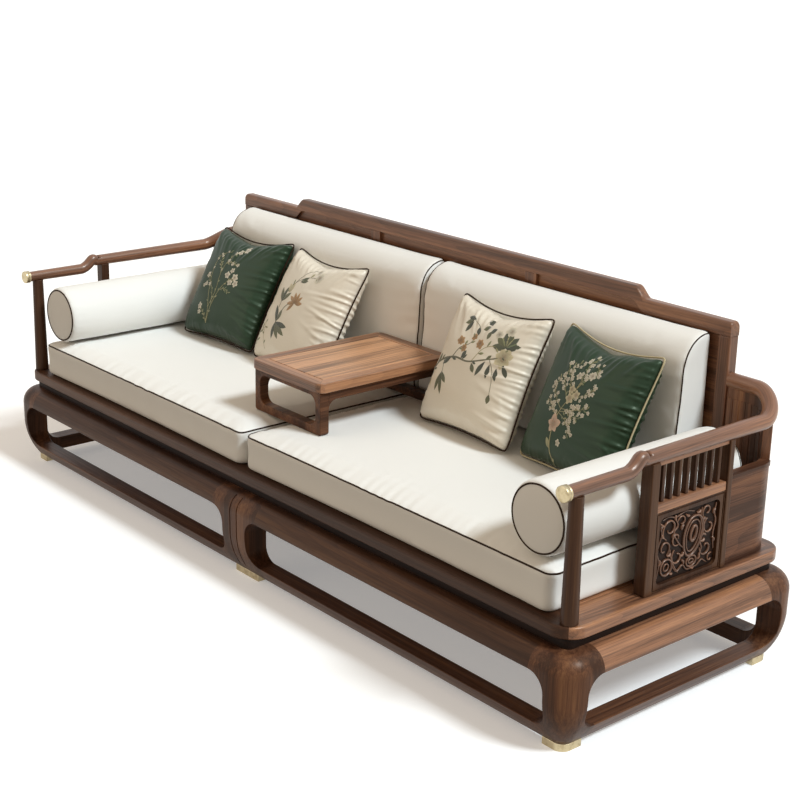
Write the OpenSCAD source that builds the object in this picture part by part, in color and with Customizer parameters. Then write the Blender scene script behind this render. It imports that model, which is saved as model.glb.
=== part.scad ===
// Chinese wooden sofa: a walnut platform sofa on a drum-shaped open base, with
// curved arms, a stepped crest, two seat and two back cushions, two bolsters,
// four throw pillows and a low tea table that stands across the middle.
// Millimetres. X runs along the sofa, Y from front to back, Z up.
// The origin is on the floor under the middle of the sofa.

/* [Overall] */
// Length of the seat frame
seat_len = 2480; // [2430:10:2800]
// Depth of the seat frame
seat_dep = 780; // [760:10:860]
// Height of the top of the seat frame above the floor
seat_top = 312; // [302:1:340]

/* [Base] */
// Height of the brass feet
foot_h = 20; // [12:1:26]
// Length of a brass foot along each side of its leg
foot_len = 64; // [50:1:80]
// Distance from the seat frame's edge in to the foot
foot_inset = 12; // [6:1:18]
// How far the base swells out past the seat frame
bulge = 34; // [22:1:44]
// Height at which the swell is widest
bulge_z = 150; // [130:1:170]
// Radius of the shoulder that turns the base in under the waist
shoulder_r = 50; // [40:1:54]
// Inner face of the base walls, measured in from the seat frame's edge
wall_in = 40; // [34:1:50]
// Height of the floor stretchers
stretcher_h = 42; // [32:1:50]
// Height of the aprons
apron_h = 53; // [46:1:60]
// Radius of the upper corners of the base openings
bracket_top_r = 48; // [30:1:52]
// Radius of the lower corners of the base openings
bracket_low_r = 44; // [30:1:52]
// Width of the middle legs
mid_leg_w = 108; // [90:1:130]
// Width of the two grooves down each middle leg
mid_groove_w = 4; // [2:1:6]
// Height of the waist between the base and the seat frame
waist_h = 28; // [20:1:34]
// Distance from the seat frame's edge in to the waist
waist_inset = 20; // [14:1:26]

/* [Seat frame] */
// Thickness of the seat frame
frame_t = 31; // [26:1:36]
// Width of the seat frame's rails
frame_w = 90; // [80:1:110]
// Corner radius of the seat frame
frame_r = 60; // [30:1:80]
// Width of a slat
slat_w = 90; // [60:1:110]
// Gap between slats
slat_gap = 74; // [40:1:90]
// Thickness of a slat
slat_t = 18; // [14:1:22]
// Width and height of the cleats under the slats
cleat = 22; // [18:1:28]
// Width of the bearer across the middle of the seat
bearer_w = 60; // [40:1:80]
// Height of the bearer under the slats
bearer_h = 58; // [50:1:66]

/* [Arms] */
// Distance from the seat frame's edge in to the arm's outer face
arm_set = 17; // [12:1:24]
// Depth of the arm's posts across the arm
post_d = 34; // [30:1:38]
// Diameter of the arm rail round the rear corner
rail_d = 39; // [34:1:42]
// Diameter of the arm rail at its front end
rail_front_d = 32; // [30:1:34]
// Height of the rail's lower front part above the seat frame, at its middle
rail_low_h = 317; // [310:1:340]
// Rise of the rail at its step
rail_step_h = 22; // [18:1:44]
// Further rise of the rail round the rear corner
rail_end_h = 50; // [10:1:56]
// Extra height of the small ear at the top of the step
rail_ear_h = 7; // [0:1:9]
// How far the rail's brass cap stands out in front of the seat frame
cap_out = 14; // [4:1:24]
// Diameter of the brass caps
cap_d = 39; // [38:1:44]
// Length of the brass caps
cap_len = 18; // [12:1:26]
// Distance of the front post's middle from the seat frame's front edge
front_post_at = 35; // [30:1:44]
// Diameter of the front post at the rail
front_post_top_d = 34; // [28:1:36]
// Diameter of the front post at the seat frame
front_post_low_d = 42; // [36:1:46]
// Start of the rail's step, from the seat frame's front edge
step_at = 192; // [160:1:200]
// Length of the rail's step
step_len = 58; // [40:1:64]
// Start of the panel's front post, from the seat frame's front edge
panel_at = 264; // [258:1:280]
// Width of the panel's front post
panel_post_w = 28; // [22:1:34]
// Width of the panel's rear post
rear_post_w = 18; // [14:1:24]
// Width of the carved panel between its posts
panel_w = 248; // [230:1:256]
// Height of the carved panel's frame
panel_h = 200; // [180:1:210]
// Width of the carved frame's members
panel_border = 16; // [12:1:30]
// Thickness of the carved frame
panel_t = 26; // [20:1:28]
// Corner radius of the carved frame's opening
panel_r = 16; // [8:1:24]
// Thickness of the board that carries the carving
ground_t = 8; // [5:1:10]
// How far the scrolls stand up from their board
scroll_h = 6; // [3:1:8]
// Width of a scroll's ribbon
scroll_w = 6; // [4:1:8]
// Height of the mid rail over the carved frame
mid_rail_h = 23; // [18:1:28]
// Height of the strip under the arm rail, over the spindles
top_strip_h = 10; // [6:1:14]
// Number of spindles in the right arm
spindle_n = 8; // [5:1:9]
// Width of a spindle along the arm
spindle_w = 10; // [8:1:12]
// Depth of a spindle across the arm
spindle_d = 15; // [12:1:20]
// Radius of the arm's rear corner, at the middle of the rail
corner_r = 84; // [70:1:110]
// Angle round the corner at which the full-height corner panel begins
corner_from = 28; // [22:1:40]
// Thickness of the arm's rear boards and corner panel
board_t = 22; // [16:1:26]
// Height of the two rear boards together
boards_h = 219; // [200:1:230]
// Height of the rail on top of the rear boards
board_rail_h = 14; // [10:1:18]

/* [Back] */
// Height of the crest at its ends above the seat frame
crest_end_h = 539; // [520:1:560]
// Rise of the crest's raised middle
crest_step_h = 30; // [16:1:40]
// Half length of the crest's raised middle
crest_mid = 716; // [600:1:800]
// Length of the step between the two heights of the crest
crest_step_len = 42; // [30:1:60]
// Height of the crest rail's face
crest_h = 38; // [30:1:46]
// Thickness of the back frame
back_t = 34; // [28:1:38]
// Distance from the seat frame's rear edge in to the back frame
back_set = 2; // [0:1:8]
// Width of the back's end posts
back_post_w = 36; // [30:1:44]
// Straight end of the arm rail where it meets the end post
rail_stub = 82; // [50:1:100]
// Height of the back's bottom rail
back_rail_h = 56; // [40:1:70]
// Distance of the back's two stiles from the middle
stile_at = 340; // [280:1:400]
// Width of the back's stiles
stile_w = 44; // [36:1:60]
// Thickness of the back's panels
back_panel_t = 14; // [10:1:18]

/* [Cushions] */
// Distance of the seat cushions' seam left of the middle
seat_seam = 34; // [0:1:60]
// Distance from the arm's inner face to the seat cushion
seat_side_gap = 26; // [20:1:34]
// Distance from the seat frame's front edge to the seat cushion
seat_front_gap = 13; // [6:1:24]
// Height of the seat cushions at their edges
seat_cushion_h = 103; // [90:1:116]
// Height of the seat cushions' crown
seat_crown = 13; // [6:1:18]
// Distance in from the edge at which the crown is reached
seat_crown_in = 105; // [80:1:112]
// Corner radius of the seat cushions
seat_cushion_r = 34; // [20:1:50]
// How far the seat cushions' sides are drawn in at half height
seat_draw = 4; // [1:1:8]
// Thickness of the back cushions at the bottom
back_cushion_t = 120; // [100:1:124]
// Height of the back cushions
back_cushion_h = 394; // [370:1:410]
// How much thinner the back cushions are where their rounded top begins
back_taper = 17; // [6:1:26]
// Height of the back cushions' rounded top
back_round_h = 100; // [60:1:120]
// Crown of the back cushions' front face
back_crown = 7; // [2:1:12]
// Distance from the back's end posts to the back cushions
back_side_gap = 14; // [8:1:30]
// Diameter of the bolsters
bolster_d = 184; // [170:1:190]
// Length of the bolsters
bolster_len = 632; // [580:1:634]
// Distance from the seat frame's front edge to the bolsters
bolster_at = 38; // [30:1:50]
// Distance from the arm's inner face to the bolsters
bolster_side_gap = 12; // [3:1:16]
// Rounding of the bolsters' rims
bolster_rim = 8; // [4:1:14]
// Side of the throw pillows
pillow_size = 385; // [350:1:392]
// Thickness of the throw pillows at the middle
pillow_t = 126; // [90:1:140]
// How far the pillows' edges are drawn in between the corners
pillow_draw = 12; // [6:1:26]
// How far a pillow's top edge hangs between its corners
pillow_sag = 32; // [10:1:38]
// Thickness of the pillows' seam
pillow_seam = 5; // [4:1:8]
// Distance from the bolster to the green pillow
green_gap = 12; // [8:1:16]
// Distance between the green and the cream pillow
pair_gap = 16; // [12:1:20]
// How unevenly the pillows are set along the sofa
pillow_slack = 3; // [0:1:4]

/* [Tea table] */
// Width of the table along the sofa
table_w = 322; // [280:1:330]
// Depth of the table
table_d = 477; // [400:1:478]
// Height of the table above the seat cushions
table_h = 151; // [120:1:180]
// Distance from the seat frame's front edge to the table
table_at = 143; // [130:1:144]
// Thickness of the table top
table_top_t = 28; // [22:1:32]
// Width of the border round the inlaid panel
table_border = 38; // [30:1:50]
// Groove round the inlaid panel
table_groove = 2; // [1:0.5:3]
// Ledge under the inlaid panel
table_lip = 9; // [6:1:14]
// Thickness of the inlaid panel
table_panel_t = 17; // [12:1:20]
// Corner radius of the table top
table_r = 24; // [8:1:34]
// Distance from the table top's edge in to the legs
leg_inset = 9; // [4:1:16]
// Depth of the table's two leg frames
loop_d = 30; // [24:1:40]
// Thickness of the leg frames' members
loop_t = 24; // [18:1:30]
// Corner radius inside the leg frames
loop_r = 26; // [12:1:32]
// Height of the table's side rails
side_rail_h = 26; // [18:1:34]

/* [Hidden] */
$fn = 48;
// Clearance of soft and loose pieces from what they rest on
clear = 0.3;
half_len = seat_len / 2;
half_dep = seat_dep / 2;
wood = "#6b4631";
dark_wood = "#3a241a";
cream = "#e9e1d3";
green = "#2c4a37";
brass = "#c9ae6b";

// Levels of the base
base_top = seat_top - frame_t - waist_h;
open_low = foot_h + stretcher_h;
open_top = base_top - apron_h;
bracket_len = max(bracket_top_r, bracket_low_r);
corner_x = half_len - wall_in;
corner_y = half_dep - wall_in;
mid_joint = mid_leg_w / 2 + bracket_len;

// The arm: its middle plane, the posts' faces and the rail's levels
arm_out = half_len - arm_set;
arm_x = arm_out - post_d / 2;
arm_in = arm_out - post_d;
rail_r = rail_d / 2;
// The rail is cut flat underneath, so that posts and spindles meet a face
rail_flat = rail_front_d * 0.4;
rail_low_z = seat_top + rail_low_h;
rail_high_z = rail_low_z + rail_step_h;
rail_end_z = rail_high_z + rail_end_h;
rail_front_y = -half_dep - cap_out + cap_len;
step_y0 = -half_dep + step_at;
step_y1 = step_y0 + step_len;
panel_y0 = -half_dep + panel_at + panel_post_w;
panel_y1 = panel_y0 + panel_w;
panel_top = seat_top + panel_h;
under_rail = rail_high_z - rail_flat;
boards_y0 = panel_y1 + rear_post_w;
boards_top = seat_top + boards_h;
board_rail_top = boards_top + board_rail_h;

// The back frame
back_y = half_dep - back_set - back_t / 2;
back_front = back_y - back_t / 2;
corner_cx = arm_x - corner_r;
corner_cy = back_y - corner_r;
back_half = corner_cx - rail_stub;
crest_low_z = seat_top + crest_end_h;
back_rail_top = seat_top + back_rail_h;

// The cushions
seat_cushion_x = arm_in - seat_side_gap;
seat_y0 = -half_dep + seat_front_gap;
seat_y1 = back_front - 4;
seat_edge_z = seat_top + clear + seat_cushion_h;
crown_z = seat_edge_z + seat_crown;
back_cushion_x = back_half - back_post_w - back_side_gap;
back_cushion_y = back_front - clear;
back_cushion_z = crown_z + clear;
back_cushion_top = back_cushion_z + back_cushion_h;
bolster_r = bolster_d / 2;
bolster_x = arm_in - bolster_side_gap - bolster_r;
bolster_y0 = -half_dep + bolster_at;
bolster_z = seat_edge_z + crown(seat_cushion_x - bolster_x) + clear + bolster_r;

// The table
table_z0 = crown_z + clear;
table_z1 = table_z0 + table_h;
table_y0 = -half_dep + table_at;
table_y1 = table_y0 + table_d;
table_leg_top = table_z1 - table_top_t;
loop_w = table_w - 2 * leg_inset;

// Height of a seat cushion's crown at a distance in from its edge
function crown(d) = seat_crown * (1 - pow(1 - min(d, seat_crown_in) / seat_crown_in, 2));

// Points of an arc from angle a0 to a1 in n steps
function arc(cx, cy, r, a0, a1, n) =
    [for (i = [0:n]) let (a = a0 + (a1 - a0) * i / n) [cx + r * cos(a), cy + r * sin(a)]];

// A box between two corners
module slab(a, b) {
    translate(a) cube(b - a);
}

// A closed solid through a list of rings with the same number of points
module skin(rings) {
    n = len(rings[0]);
    last = (len(rings) - 1) * n;
    sides = [
        for (i = [0:len(rings) - 2], j = [0:n - 1])
            let (a = i * n + j, b = i * n + (j + 1) % n, c = a + n, d = b + n)
            each [[a, b, c], [b, d, c]]
    ];
    first_cap = [for (j = [1:n - 2]) [0, j + 1, j]];
    last_cap = [for (j = [1:n - 2]) [last, last + j, last + j + 1]];
    polyhedron([for (r = rings) each r], concat(sides, first_cap, last_cap));
}

// A rectangle with exact round corners
module round_rect(x0, y0, x1, y1, r) {
    translate([x0 + r, y0]) square([x1 - x0 - 2 * r, y1 - y0]);
    translate([x0, y0 + r]) square([x1 - x0, y1 - y0 - 2 * r]);
    for (x = [x0 + r, x1 - r], y = [y0 + r, y1 - r]) translate([x, y]) circle(r);
}

// Lays a drawing in X and Z on its side, from y0 to y1
module along_y(y0, y1) {
    translate([0, y1, 0]) rotate([90, 0, 0]) linear_extrude(y1 - y0) children();
}

// Lays a drawing in Y and Z on its side, from x0 to x1
module along_x(x0, x1) {
    translate([x0, 0, 0]) rotate([90, 0, 90]) linear_extrude(x1 - x0) children();
}

// Base

// Cross section of the base wall: first the distance out from the seat frame's
// edge, then the height. The outside swells from the foot to the widest point,
// runs straight and turns in over the shoulder.
module wall_section() {
    rise = bulge_z - foot_h;
    swell = bulge + foot_inset;
    low_r = (rise * rise + swell * swell) / (2 * swell);
    low_a = asin(rise / low_r);
    polygon(concat(
        [[-wall_in, foot_h]],
        arc(bulge - low_r, bulge_z, low_r, -low_a, 0, 9),
        arc(bulge - shoulder_r, base_top - shoulder_r, shoulder_r, 0, 90, 9),
        [[-wall_in, base_top]]
    ));
}

// The wall's section between two heights
module wall_slice(z0, z1) {
    intersection() {
        wall_section();
        translate([-wall_in, z0]) square([wall_in + bulge, z1 - z0]);
    }
}

// Places a section at the front edge, running from x0 to x1
module front_wall(x0, x1) {
    translate([x1, -half_dep, 0]) rotate([90, 0, -90]) linear_extrude(x1 - x0) children();
}

// Places a section at the right edge, running from y0 to y1
module side_wall(y0, y1) {
    translate([half_len, y1, 0]) rotate([90, 0, 0]) linear_extrude(y1 - y0) children();
}

// An opening of the base from u0 to u1, with its own corner radii
module base_opening(u0, u1) {
    t = bracket_top_r;
    l = bracket_low_r;
    translate([u0, open_low + l]) square([u1 - u0, open_top - t - open_low - l]);
    translate([u0 + t, open_low + l]) square([u1 - u0 - 2 * t, open_top - open_low - l]);
    translate([u0 + l, open_low]) square([u1 - u0 - 2 * l, open_top - open_low - t]);
    for (u = [u0 + t, u1 - t]) translate([u, open_top - t]) circle(t);
    for (u = [u0 + l, u1 - l]) translate([u, open_low + l]) circle(l);
}

// The front right corner leg, turned round its corner, with a bracket each way
module corner_leg() {
    color(dark_wood) difference() {
        union() {
            translate([corner_x, -corner_y, 0])
                rotate([0, 0, -90])
                rotate_extrude(angle = 90)
                translate([wall_in, 0]) wall_section();
            front_wall(corner_x - bracket_len, corner_x) wall_section();
            side_wall(-corner_y, -corner_y + bracket_len) wall_section();
        }
        along_y(-half_dep - 2 * bulge, -corner_y + wall_in)
            base_opening(mid_leg_w / 2, corner_x);
        along_x(corner_x - wall_in, half_len + 2 * bulge)
            base_opening(-corner_y, corner_y);
    }
}

// The front middle leg, with a bracket each way and two grooves down its face
module middle_leg() {
    color(dark_wood) difference() {
        front_wall(-mid_joint, mid_joint) wall_section();
        for (s = [-1, 1]) {
            along_y(-half_dep - 2 * bulge, -corner_y + 1)
                base_opening(
                    s > 0 ? mid_leg_w / 2 : -corner_x,
                    s > 0 ? corner_x : -mid_leg_w / 2
                );
            // The groove follows the swell of the face
            front_wall(
                s * mid_leg_w / 7 - mid_groove_w / 2,
                s * mid_leg_w / 7 + mid_groove_w / 2
            ) difference() {
                translate([0, foot_h - 1]) square([2 * bulge, base_top - foot_h - 6]);
                translate([-mid_groove_w, 0]) wall_section();
                translate([-wall_in, foot_h - 2]) square([wall_in, base_top]);
            }
        }
    }
}

module leg_front_right() corner_leg();
module leg_front_left() mirror([1, 0, 0]) corner_leg();
module leg_rear_right() mirror([0, 1, 0]) corner_leg();
module leg_rear_left() mirror([1, 0, 0]) mirror([0, 1, 0]) corner_leg();
module leg_front_middle() middle_leg();
module leg_rear_middle() mirror([0, 1, 0]) middle_leg();

// A front apron, right of the middle leg
module long_apron() {
    color(wood) front_wall(mid_joint, corner_x - bracket_len) wall_slice(open_top, base_top);
}

module side_apron() {
    color(wood) side_wall(-corner_y + bracket_len, corner_y - bracket_len)
        wall_slice(open_top, base_top);
}

module apron_front_right() long_apron();
module apron_front_left() mirror([1, 0, 0]) long_apron();
module aprons_rear() for (s = [0, 1]) mirror([s, 0, 0]) mirror([0, 1, 0]) long_apron();
module apron_right() side_apron();
module apron_left() mirror([1, 0, 0]) side_apron();

// A front floor stretcher, right of the middle leg
module long_stretcher() {
    color(dark_wood) front_wall(mid_joint, corner_x - bracket_len)
        wall_slice(foot_h, open_low);
}

module side_stretcher() {
    color(dark_wood) side_wall(-corner_y + bracket_len, corner_y - bracket_len)
        wall_slice(foot_h, open_low);
}

module stretchers_front() for (s = [0, 1]) mirror([s, 0, 0]) long_stretcher();
module stretchers_rear() mirror([0, 1, 0]) stretchers_front();
module stretcher_right() side_stretcher();
module stretcher_left() mirror([1, 0, 0]) side_stretcher();

// Six brass pads: one under each corner leg and one under each middle leg
module brass_feet() {
    r = wall_in - foot_inset;
    color(brass) for (mx = [0, 1], my = [0, 1]) mirror([mx, 0, 0]) mirror([0, my, 0])
        linear_extrude(foot_h) translate([corner_x, -corner_y]) {
            circle(r);
            translate([r - foot_len, -r]) square([foot_len - r, foot_len]);
            translate([r - foot_len, 0]) square([foot_len, foot_len - r]);
        }
    color(brass) for (my = [0, 1]) mirror([0, my, 0])
        slab([-mid_leg_w / 2, -corner_y - r, 0], [mid_leg_w / 2, -corner_y - r + foot_len, foot_h]);
}

// The waist: a recessed strip under each side of the seat frame, mitred
module waist_strips() {
    // Outer corner radius of the waist
    r = wall_in - waist_inset;
    x = half_len - waist_inset;
    y = half_dep - waist_inset;
    // The strips end this far short of the mitre, so that each stays a piece
    joint = clear / 2;
    color(dark_wood) for (side = [0:3]) translate([0, 0, base_top])
        linear_extrude(waist_h) intersection() {
            difference() {
                round_rect(-x, -y, x, y, r);
                square([2 * corner_x, 2 * corner_y], center = true);
            }
            rotate(90 * side)
                if (side % 2 == 0) mitre(half_len, half_dep, joint);
                else mitre(half_dep, half_len, joint);
        }
}

// The part of the plan between two mitre lines, for a side of half length u at
// a distance v in front of the middle, with its ends drawn back by g
module mitre(u, v, g = 0) {
    w = 2 * frame_w;
    polygon([[g - u, -v], [u - g, -v], [u - g - w, w - v], [w + g - u, w - v]]);
}

// Seat frame

// One rail of the seat frame, mitred at both ends
module seat_rail(side) {
    color(wood) translate([0, 0, seat_top - frame_t]) linear_extrude(frame_t)
        intersection() {
            difference() {
                round_rect(-half_len, -half_dep, half_len, half_dep, frame_r);
                square([seat_len - 2 * frame_w, seat_dep - 2 * frame_w], center = true);
            }
            rotate(90 * side)
                if (side % 2 == 0) mitre(half_len, half_dep); else mitre(half_dep, half_len);
        }
}

module seat_rail_front() seat_rail(0);
module seat_rail_right() seat_rail(1);
module seat_rail_rear() seat_rail(2);
module seat_rail_left() seat_rail(3);

slat_span = half_len - frame_w;
slat_n = floor((2 * slat_span + slat_gap) / (slat_w + slat_gap));
slat_pitch = (2 * slat_span - slat_w) / (slat_n - 1);

module seat_slats() {
    y = half_dep - frame_w;
    color(wood) for (i = [0:slat_n - 1])
        let (x = -slat_span + i * slat_pitch)
        slab([x, -y, seat_top - slat_t], [x + slat_w, y, seat_top]);
}

// Two cleats along the frame's long rails and a bearer across the middle
module seat_supports() {
    y = half_dep - frame_w;
    z = seat_top - slat_t;
    color(wood) for (s = [0, 1]) mirror([0, s, 0])
        slab([-slat_span, -y, z - cleat], [slat_span, -y + cleat, z]);
    // The bearer passes under the cleats and reaches the waist at both ends
    color(wood) along_x(-bearer_w / 2, bearer_w / 2) difference() {
        translate([-corner_y, z - bearer_h]) square([2 * corner_y, bearer_h]);
        for (s = [0, 1]) mirror([s, 0])
            translate([-corner_y - 1, z - cleat]) square([corner_y + 1 - y + cleat, cleat + 1]);
    }
}

// Arms, drawn for the right side

// The rail's middle line: the low front part, the step with its ear, the high
// part, the rear corner, where the rail rises again, and the stub at the post
function smooth(t) = t * t * (3 - 2 * t);
rail_path = concat(
    [[arm_x, rail_front_y, rail_low_z]],
    [for (i = [0:8]) let (t = i / 8)
        [arm_x, step_y0 + t * step_len,
            rail_low_z + rail_step_h * smooth(t) + rail_ear_h * pow(sin(180 * pow(t, 3)), 2)]],
    [for (i = [1:3]) let (t = i / 3)
        [arm_x, step_y1 + t * rail_r,
            rail_high_z]],
    [for (i = [0:15]) let (t = i / 15)
        [corner_cx + corner_r * cos(90 * t), corner_cy + corner_r * sin(90 * t),
            rail_high_z + rail_end_h * smooth(t)]],
    [[back_half, back_y, rail_end_z]]
);

// A ring of the rail round the path's point i, with its flat underneath. The
// rail thickens from its front end to the rear corner.
function rail_ring(i) =
    let (
        grow = min((rail_path[i].y - rail_front_y) / (corner_cy - rail_front_y), 1),
        r = rail_front_d / 2 + (rail_r - rail_front_d / 2) * grow,
        a = rail_path[max(i - 1, 0)],
        b = rail_path[min(i + 1, len(rail_path) - 1)],
        at_end = i == 0 ? [0, 1] : i == len(rail_path) - 1 ? [-1, 0] : [b.x - a.x, b.y - a.y],
        t = at_end / norm(at_end)
    )
    [for (k = [0:19]) let (q = 18 * k + 9, w = r * cos(q), h = max(r * sin(q), -rail_flat))
        rail_path[i] + [t.y * w, -t.x * w, h]];

module arm_rail() {
    color(wood) skin([for (i = [0:len(rail_path) - 1]) rail_ring(i)]);
}

module arm_rail_right() arm_rail();
module arm_rail_left() mirror([1, 0, 0]) arm_rail();

// A domed brass cap on the front end of each rail
module brass_caps() {
    r = cap_d / 2;
    color(brass) for (s = [0, 1]) mirror([s, 0, 0])
        translate([arm_x, rail_front_y, rail_low_z]) rotate([90, 0, 0])
        rotate_extrude() polygon([
            [0, 0], [r, 0], [r, cap_len - 4], [r - 1.2, cap_len - 1.2], [r - 4, cap_len], [0, cap_len]
        ]);
}

module front_post() {
    color(wood) translate([arm_x, -half_dep + front_post_at, seat_top])
        cylinder(
            h = rail_low_z - rail_flat - seat_top,
            d1 = front_post_low_d,
            d2 = front_post_top_d
        );
}

module front_post_right() front_post();
module front_post_left() mirror([1, 0, 0]) front_post();

// The panel's two posts. The rear one reaches the rail only in the right arm.
module panel_posts(rear_top) {
    color(wood) {
        slab([arm_in, panel_y0 - panel_post_w, seat_top], [arm_out, panel_y0, under_rail]);
        slab([arm_in, panel_y1, seat_top], [arm_out, boards_y0, rear_top]);
    }
}

module panel_posts_right() panel_posts(under_rail);
module panel_posts_left() mirror([1, 0, 0]) panel_posts(board_rail_top);

// The rail over the carved frame
module mid_rail() {
    color(wood) slab(
        [arm_in + 3, panel_y0, panel_top],
        [arm_out - 3, panel_y1, panel_top + mid_rail_h]
    );
}

module mid_rails() for (s = [0, 1]) mirror([s, 0, 0]) mid_rail();

// The carved panel's frame, with a fine groove round both faces
module carved_frame() {
    groove = 3;
    color(wood) difference() {
        along_x(arm_x - panel_t / 2, arm_x + panel_t / 2) difference() {
            translate([panel_y0, seat_top]) square([panel_w, panel_h]);
            round_rect(
                panel_y0 + panel_border, seat_top + panel_border,
                panel_y1 - panel_border, panel_top - panel_border, panel_r
            );
        }
        for (s = [-1, 1]) along_x(
            arm_x + s * panel_t / 2 - groove, arm_x + s * panel_t / 2 + groove
        ) difference() {
            translate([panel_y0 + groove, seat_top + groove])
                square([panel_w - 2 * groove, panel_h - 2 * groove]);
            translate([panel_y0 + 2 * groove, seat_top + 2 * groove])
                square([panel_w - 4 * groove, panel_h - 4 * groove]);
        }
    }
}

module carved_frame_right() carved_frame();
module carved_frame_left() mirror([1, 0, 0]) carved_frame();

// A scroll of ribbon in Y and Z: part of a ring of the given radius
module scroll(y, z, r, a0, a1) {
    steps = 10;
    in_r = r - scroll_w;
    translate([y, z]) polygon(concat(
        arc(0, 0, r, a0, a1, steps),
        arc(0, 0, in_r, a1, a0, steps)
    ));
}

// The carving: scrolls round an oval cartouche, on a board in the frame
module carving() {
    y = (panel_y0 + panel_y1) / 2;
    z = seat_top + panel_h / 2;
    w = panel_w / 2 - panel_border;
    h = panel_h / 2 - panel_border;
    r = h * 0.5;
    color(dark_wood) along_x(arm_x - ground_t / 2, arm_x + ground_t / 2)
        round_rect(y - w, z - h, y + w, z + h, panel_r);
    color(wood) along_x(arm_x + ground_t / 2, arm_x + ground_t / 2 + scroll_h) {
        // The cartouche
        scroll(y, z + h * 0.15, r, -40, 220);
        scroll(y, z - h * 0.45, r * 0.62, 150, 390);
        // Four large scrolls towards the corners, each with a small one in its curl
        for (sy = [-1, 1], sz = [-1, 1]) {
            translate([y, z]) scale([sy, sz]) {
                scroll(w - r * 0.95, h - r * 0.8, r * 0.75, -60, 210);
                scroll(w - r * 0.95, h - r * 0.8, r * 0.38, 20, 300);
                scroll(w * 0.5, h * 0.08, r * 0.42, 100, 350);
            }
        }
    }
}

module carved_panel_right() carving();
module carved_panel_left() mirror([1, 0, 0]) carving();

// Spindles between the mid rail and a strip under the arm rail
module spindles_right() {
    z0 = panel_top + mid_rail_h;
    z1 = under_rail - top_strip_h;
    pitch = (panel_w + spindle_w) / (spindle_n + 1);
    color(wood) {
        slab(
            [arm_x - spindle_d * 0.8, panel_y0, z1],
            [arm_x + spindle_d * 0.8, panel_y1, under_rail]
        );
        for (i = [1:spindle_n])
            let (y = panel_y0 + i * pitch - spindle_w)
            slab([arm_x - spindle_d / 2, y, z0], [arm_x + spindle_d / 2, y + spindle_w, z1]);
    }
}

// Plan of a wall that follows the arm from the panel's rear post into the corner
module rear_plan(t) {
    translate([arm_x - t / 2, boards_y0]) square([t, corner_cy - boards_y0]);
    translate([corner_cx, corner_cy]) difference() {
        circle(corner_r + t / 2, $fn = 96);
        circle(corner_r - t / 2, $fn = 96);
        translate([-2 * corner_r, -4 * corner_r]) square(4 * corner_r);
        rotate(corner_from) translate([-3 * corner_r, 0]) square([6 * corner_r, 3 * corner_r]);
    }
}

// Two boards, one on the other, and the rail on top of them
module rear_boards() {
    split = seat_top + boards_h / 2;
    color(wood) {
        translate([0, 0, seat_top]) linear_extrude(boards_h / 2) rear_plan(board_t);
        translate([0, 0, split]) linear_extrude(boards_h / 2) rear_plan(board_t);
        translate([0, 0, boards_top]) linear_extrude(board_rail_h) rear_plan(board_t + 6);
    }
}

module rear_boards_right() rear_boards();
module rear_boards_left() mirror([1, 0, 0]) rear_boards();

// The full-height panel round the rear corner, its top edge under the rail
module corner_panel() {
    n = 14;
    // The last point round the corner is at the back's end post
    function section(a, x, y, end) = let (
        t = a / 90,
        z = rail_high_z + rail_end_h * smooth(t) - rail_flat - clear,
        u = end ? [0, 1] : [cos(a), sin(a)],
        p = [x, y] + u * (corner_r - board_t / 2),
        q = [x, y] + u * (corner_r + board_t / 2)
    ) [[p.x, p.y, seat_top], [q.x, q.y, seat_top], [q.x, q.y, z], [p.x, p.y, z]];
    color(wood) skin(concat(
        [for (i = [0:n]) let (a = corner_from + (90 - corner_from) * i / n)
            section(a, corner_cx, corner_cy, false)],
        [section(90, back_half, corner_cy, true)]
    ));
}

module corner_panel_right() corner_panel();
module corner_panel_left() mirror([1, 0, 0]) corner_panel();

// Back

// The crest's upper line on the right half, from the middle out
crest_line = concat(
    [[0, crest_low_z + crest_step_h]],
    [for (i = [0:10]) let (t = i / 10)
        [crest_mid + t * crest_step_len, crest_low_z + crest_step_h * (1 - smooth(t))]],
    [[back_half, crest_low_z]]
);
// The whole line from left to right, set down by dz
function crest_points(dz) = concat(
    [for (i = [len(crest_line) - 1:-1:1]) [-crest_line[i].x, crest_line[i].y - dz]],
    [for (p = crest_line) [p.x, p.y - dz]]
);
function reversed(v) = [for (i = [len(v) - 1:-1:0]) v[i]];

module back_crest() {
    color(wood) along_y(back_front, back_front + back_t)
        polygon(concat(crest_points(0), reversed(crest_points(crest_h))));
}

module back_posts() {
    color(wood) for (s = [0, 1]) mirror([s, 0, 0]) slab(
        [back_half - back_post_w, back_front, seat_top],
        [back_half, back_front + back_t, crest_low_z - crest_h]
    );
}

module back_bottom_rail() {
    x = back_half - back_post_w;
    color(wood) slab([-x, back_front, seat_top], [x, back_front + back_t, back_rail_top]);
}

module back_stiles() {
    color(wood) for (s = [-1, 1]) slab(
        [s * stile_at - stile_w / 2, back_front, back_rail_top],
        [s * stile_at + stile_w / 2, back_front + back_t, crest_low_z + crest_step_h - crest_h]
    );
}

// Three panels under the crest: one between the stiles and one on each side
module back_panels() {
    x = back_half - back_post_w;
    low = seat_top - 1;
    color(dark_wood) for (s = [0:2])
        along_y(back_y - back_panel_t / 2, back_y + back_panel_t / 2) intersection() {
            polygon(concat([[-back_half, low]], crest_points(crest_h), [[back_half, low]]));
            if (s == 0) translate([-stile_at + stile_w / 2, back_rail_top])
                square([2 * stile_at - stile_w, crest_end_h + crest_step_h]);
            if (s > 0) mirror([s - 1, 0]) translate([stile_at + stile_w / 2, back_rail_top])
                square([x - stile_at - stile_w / 2, crest_end_h + crest_step_h]);
        }
}

// Cushions

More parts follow.
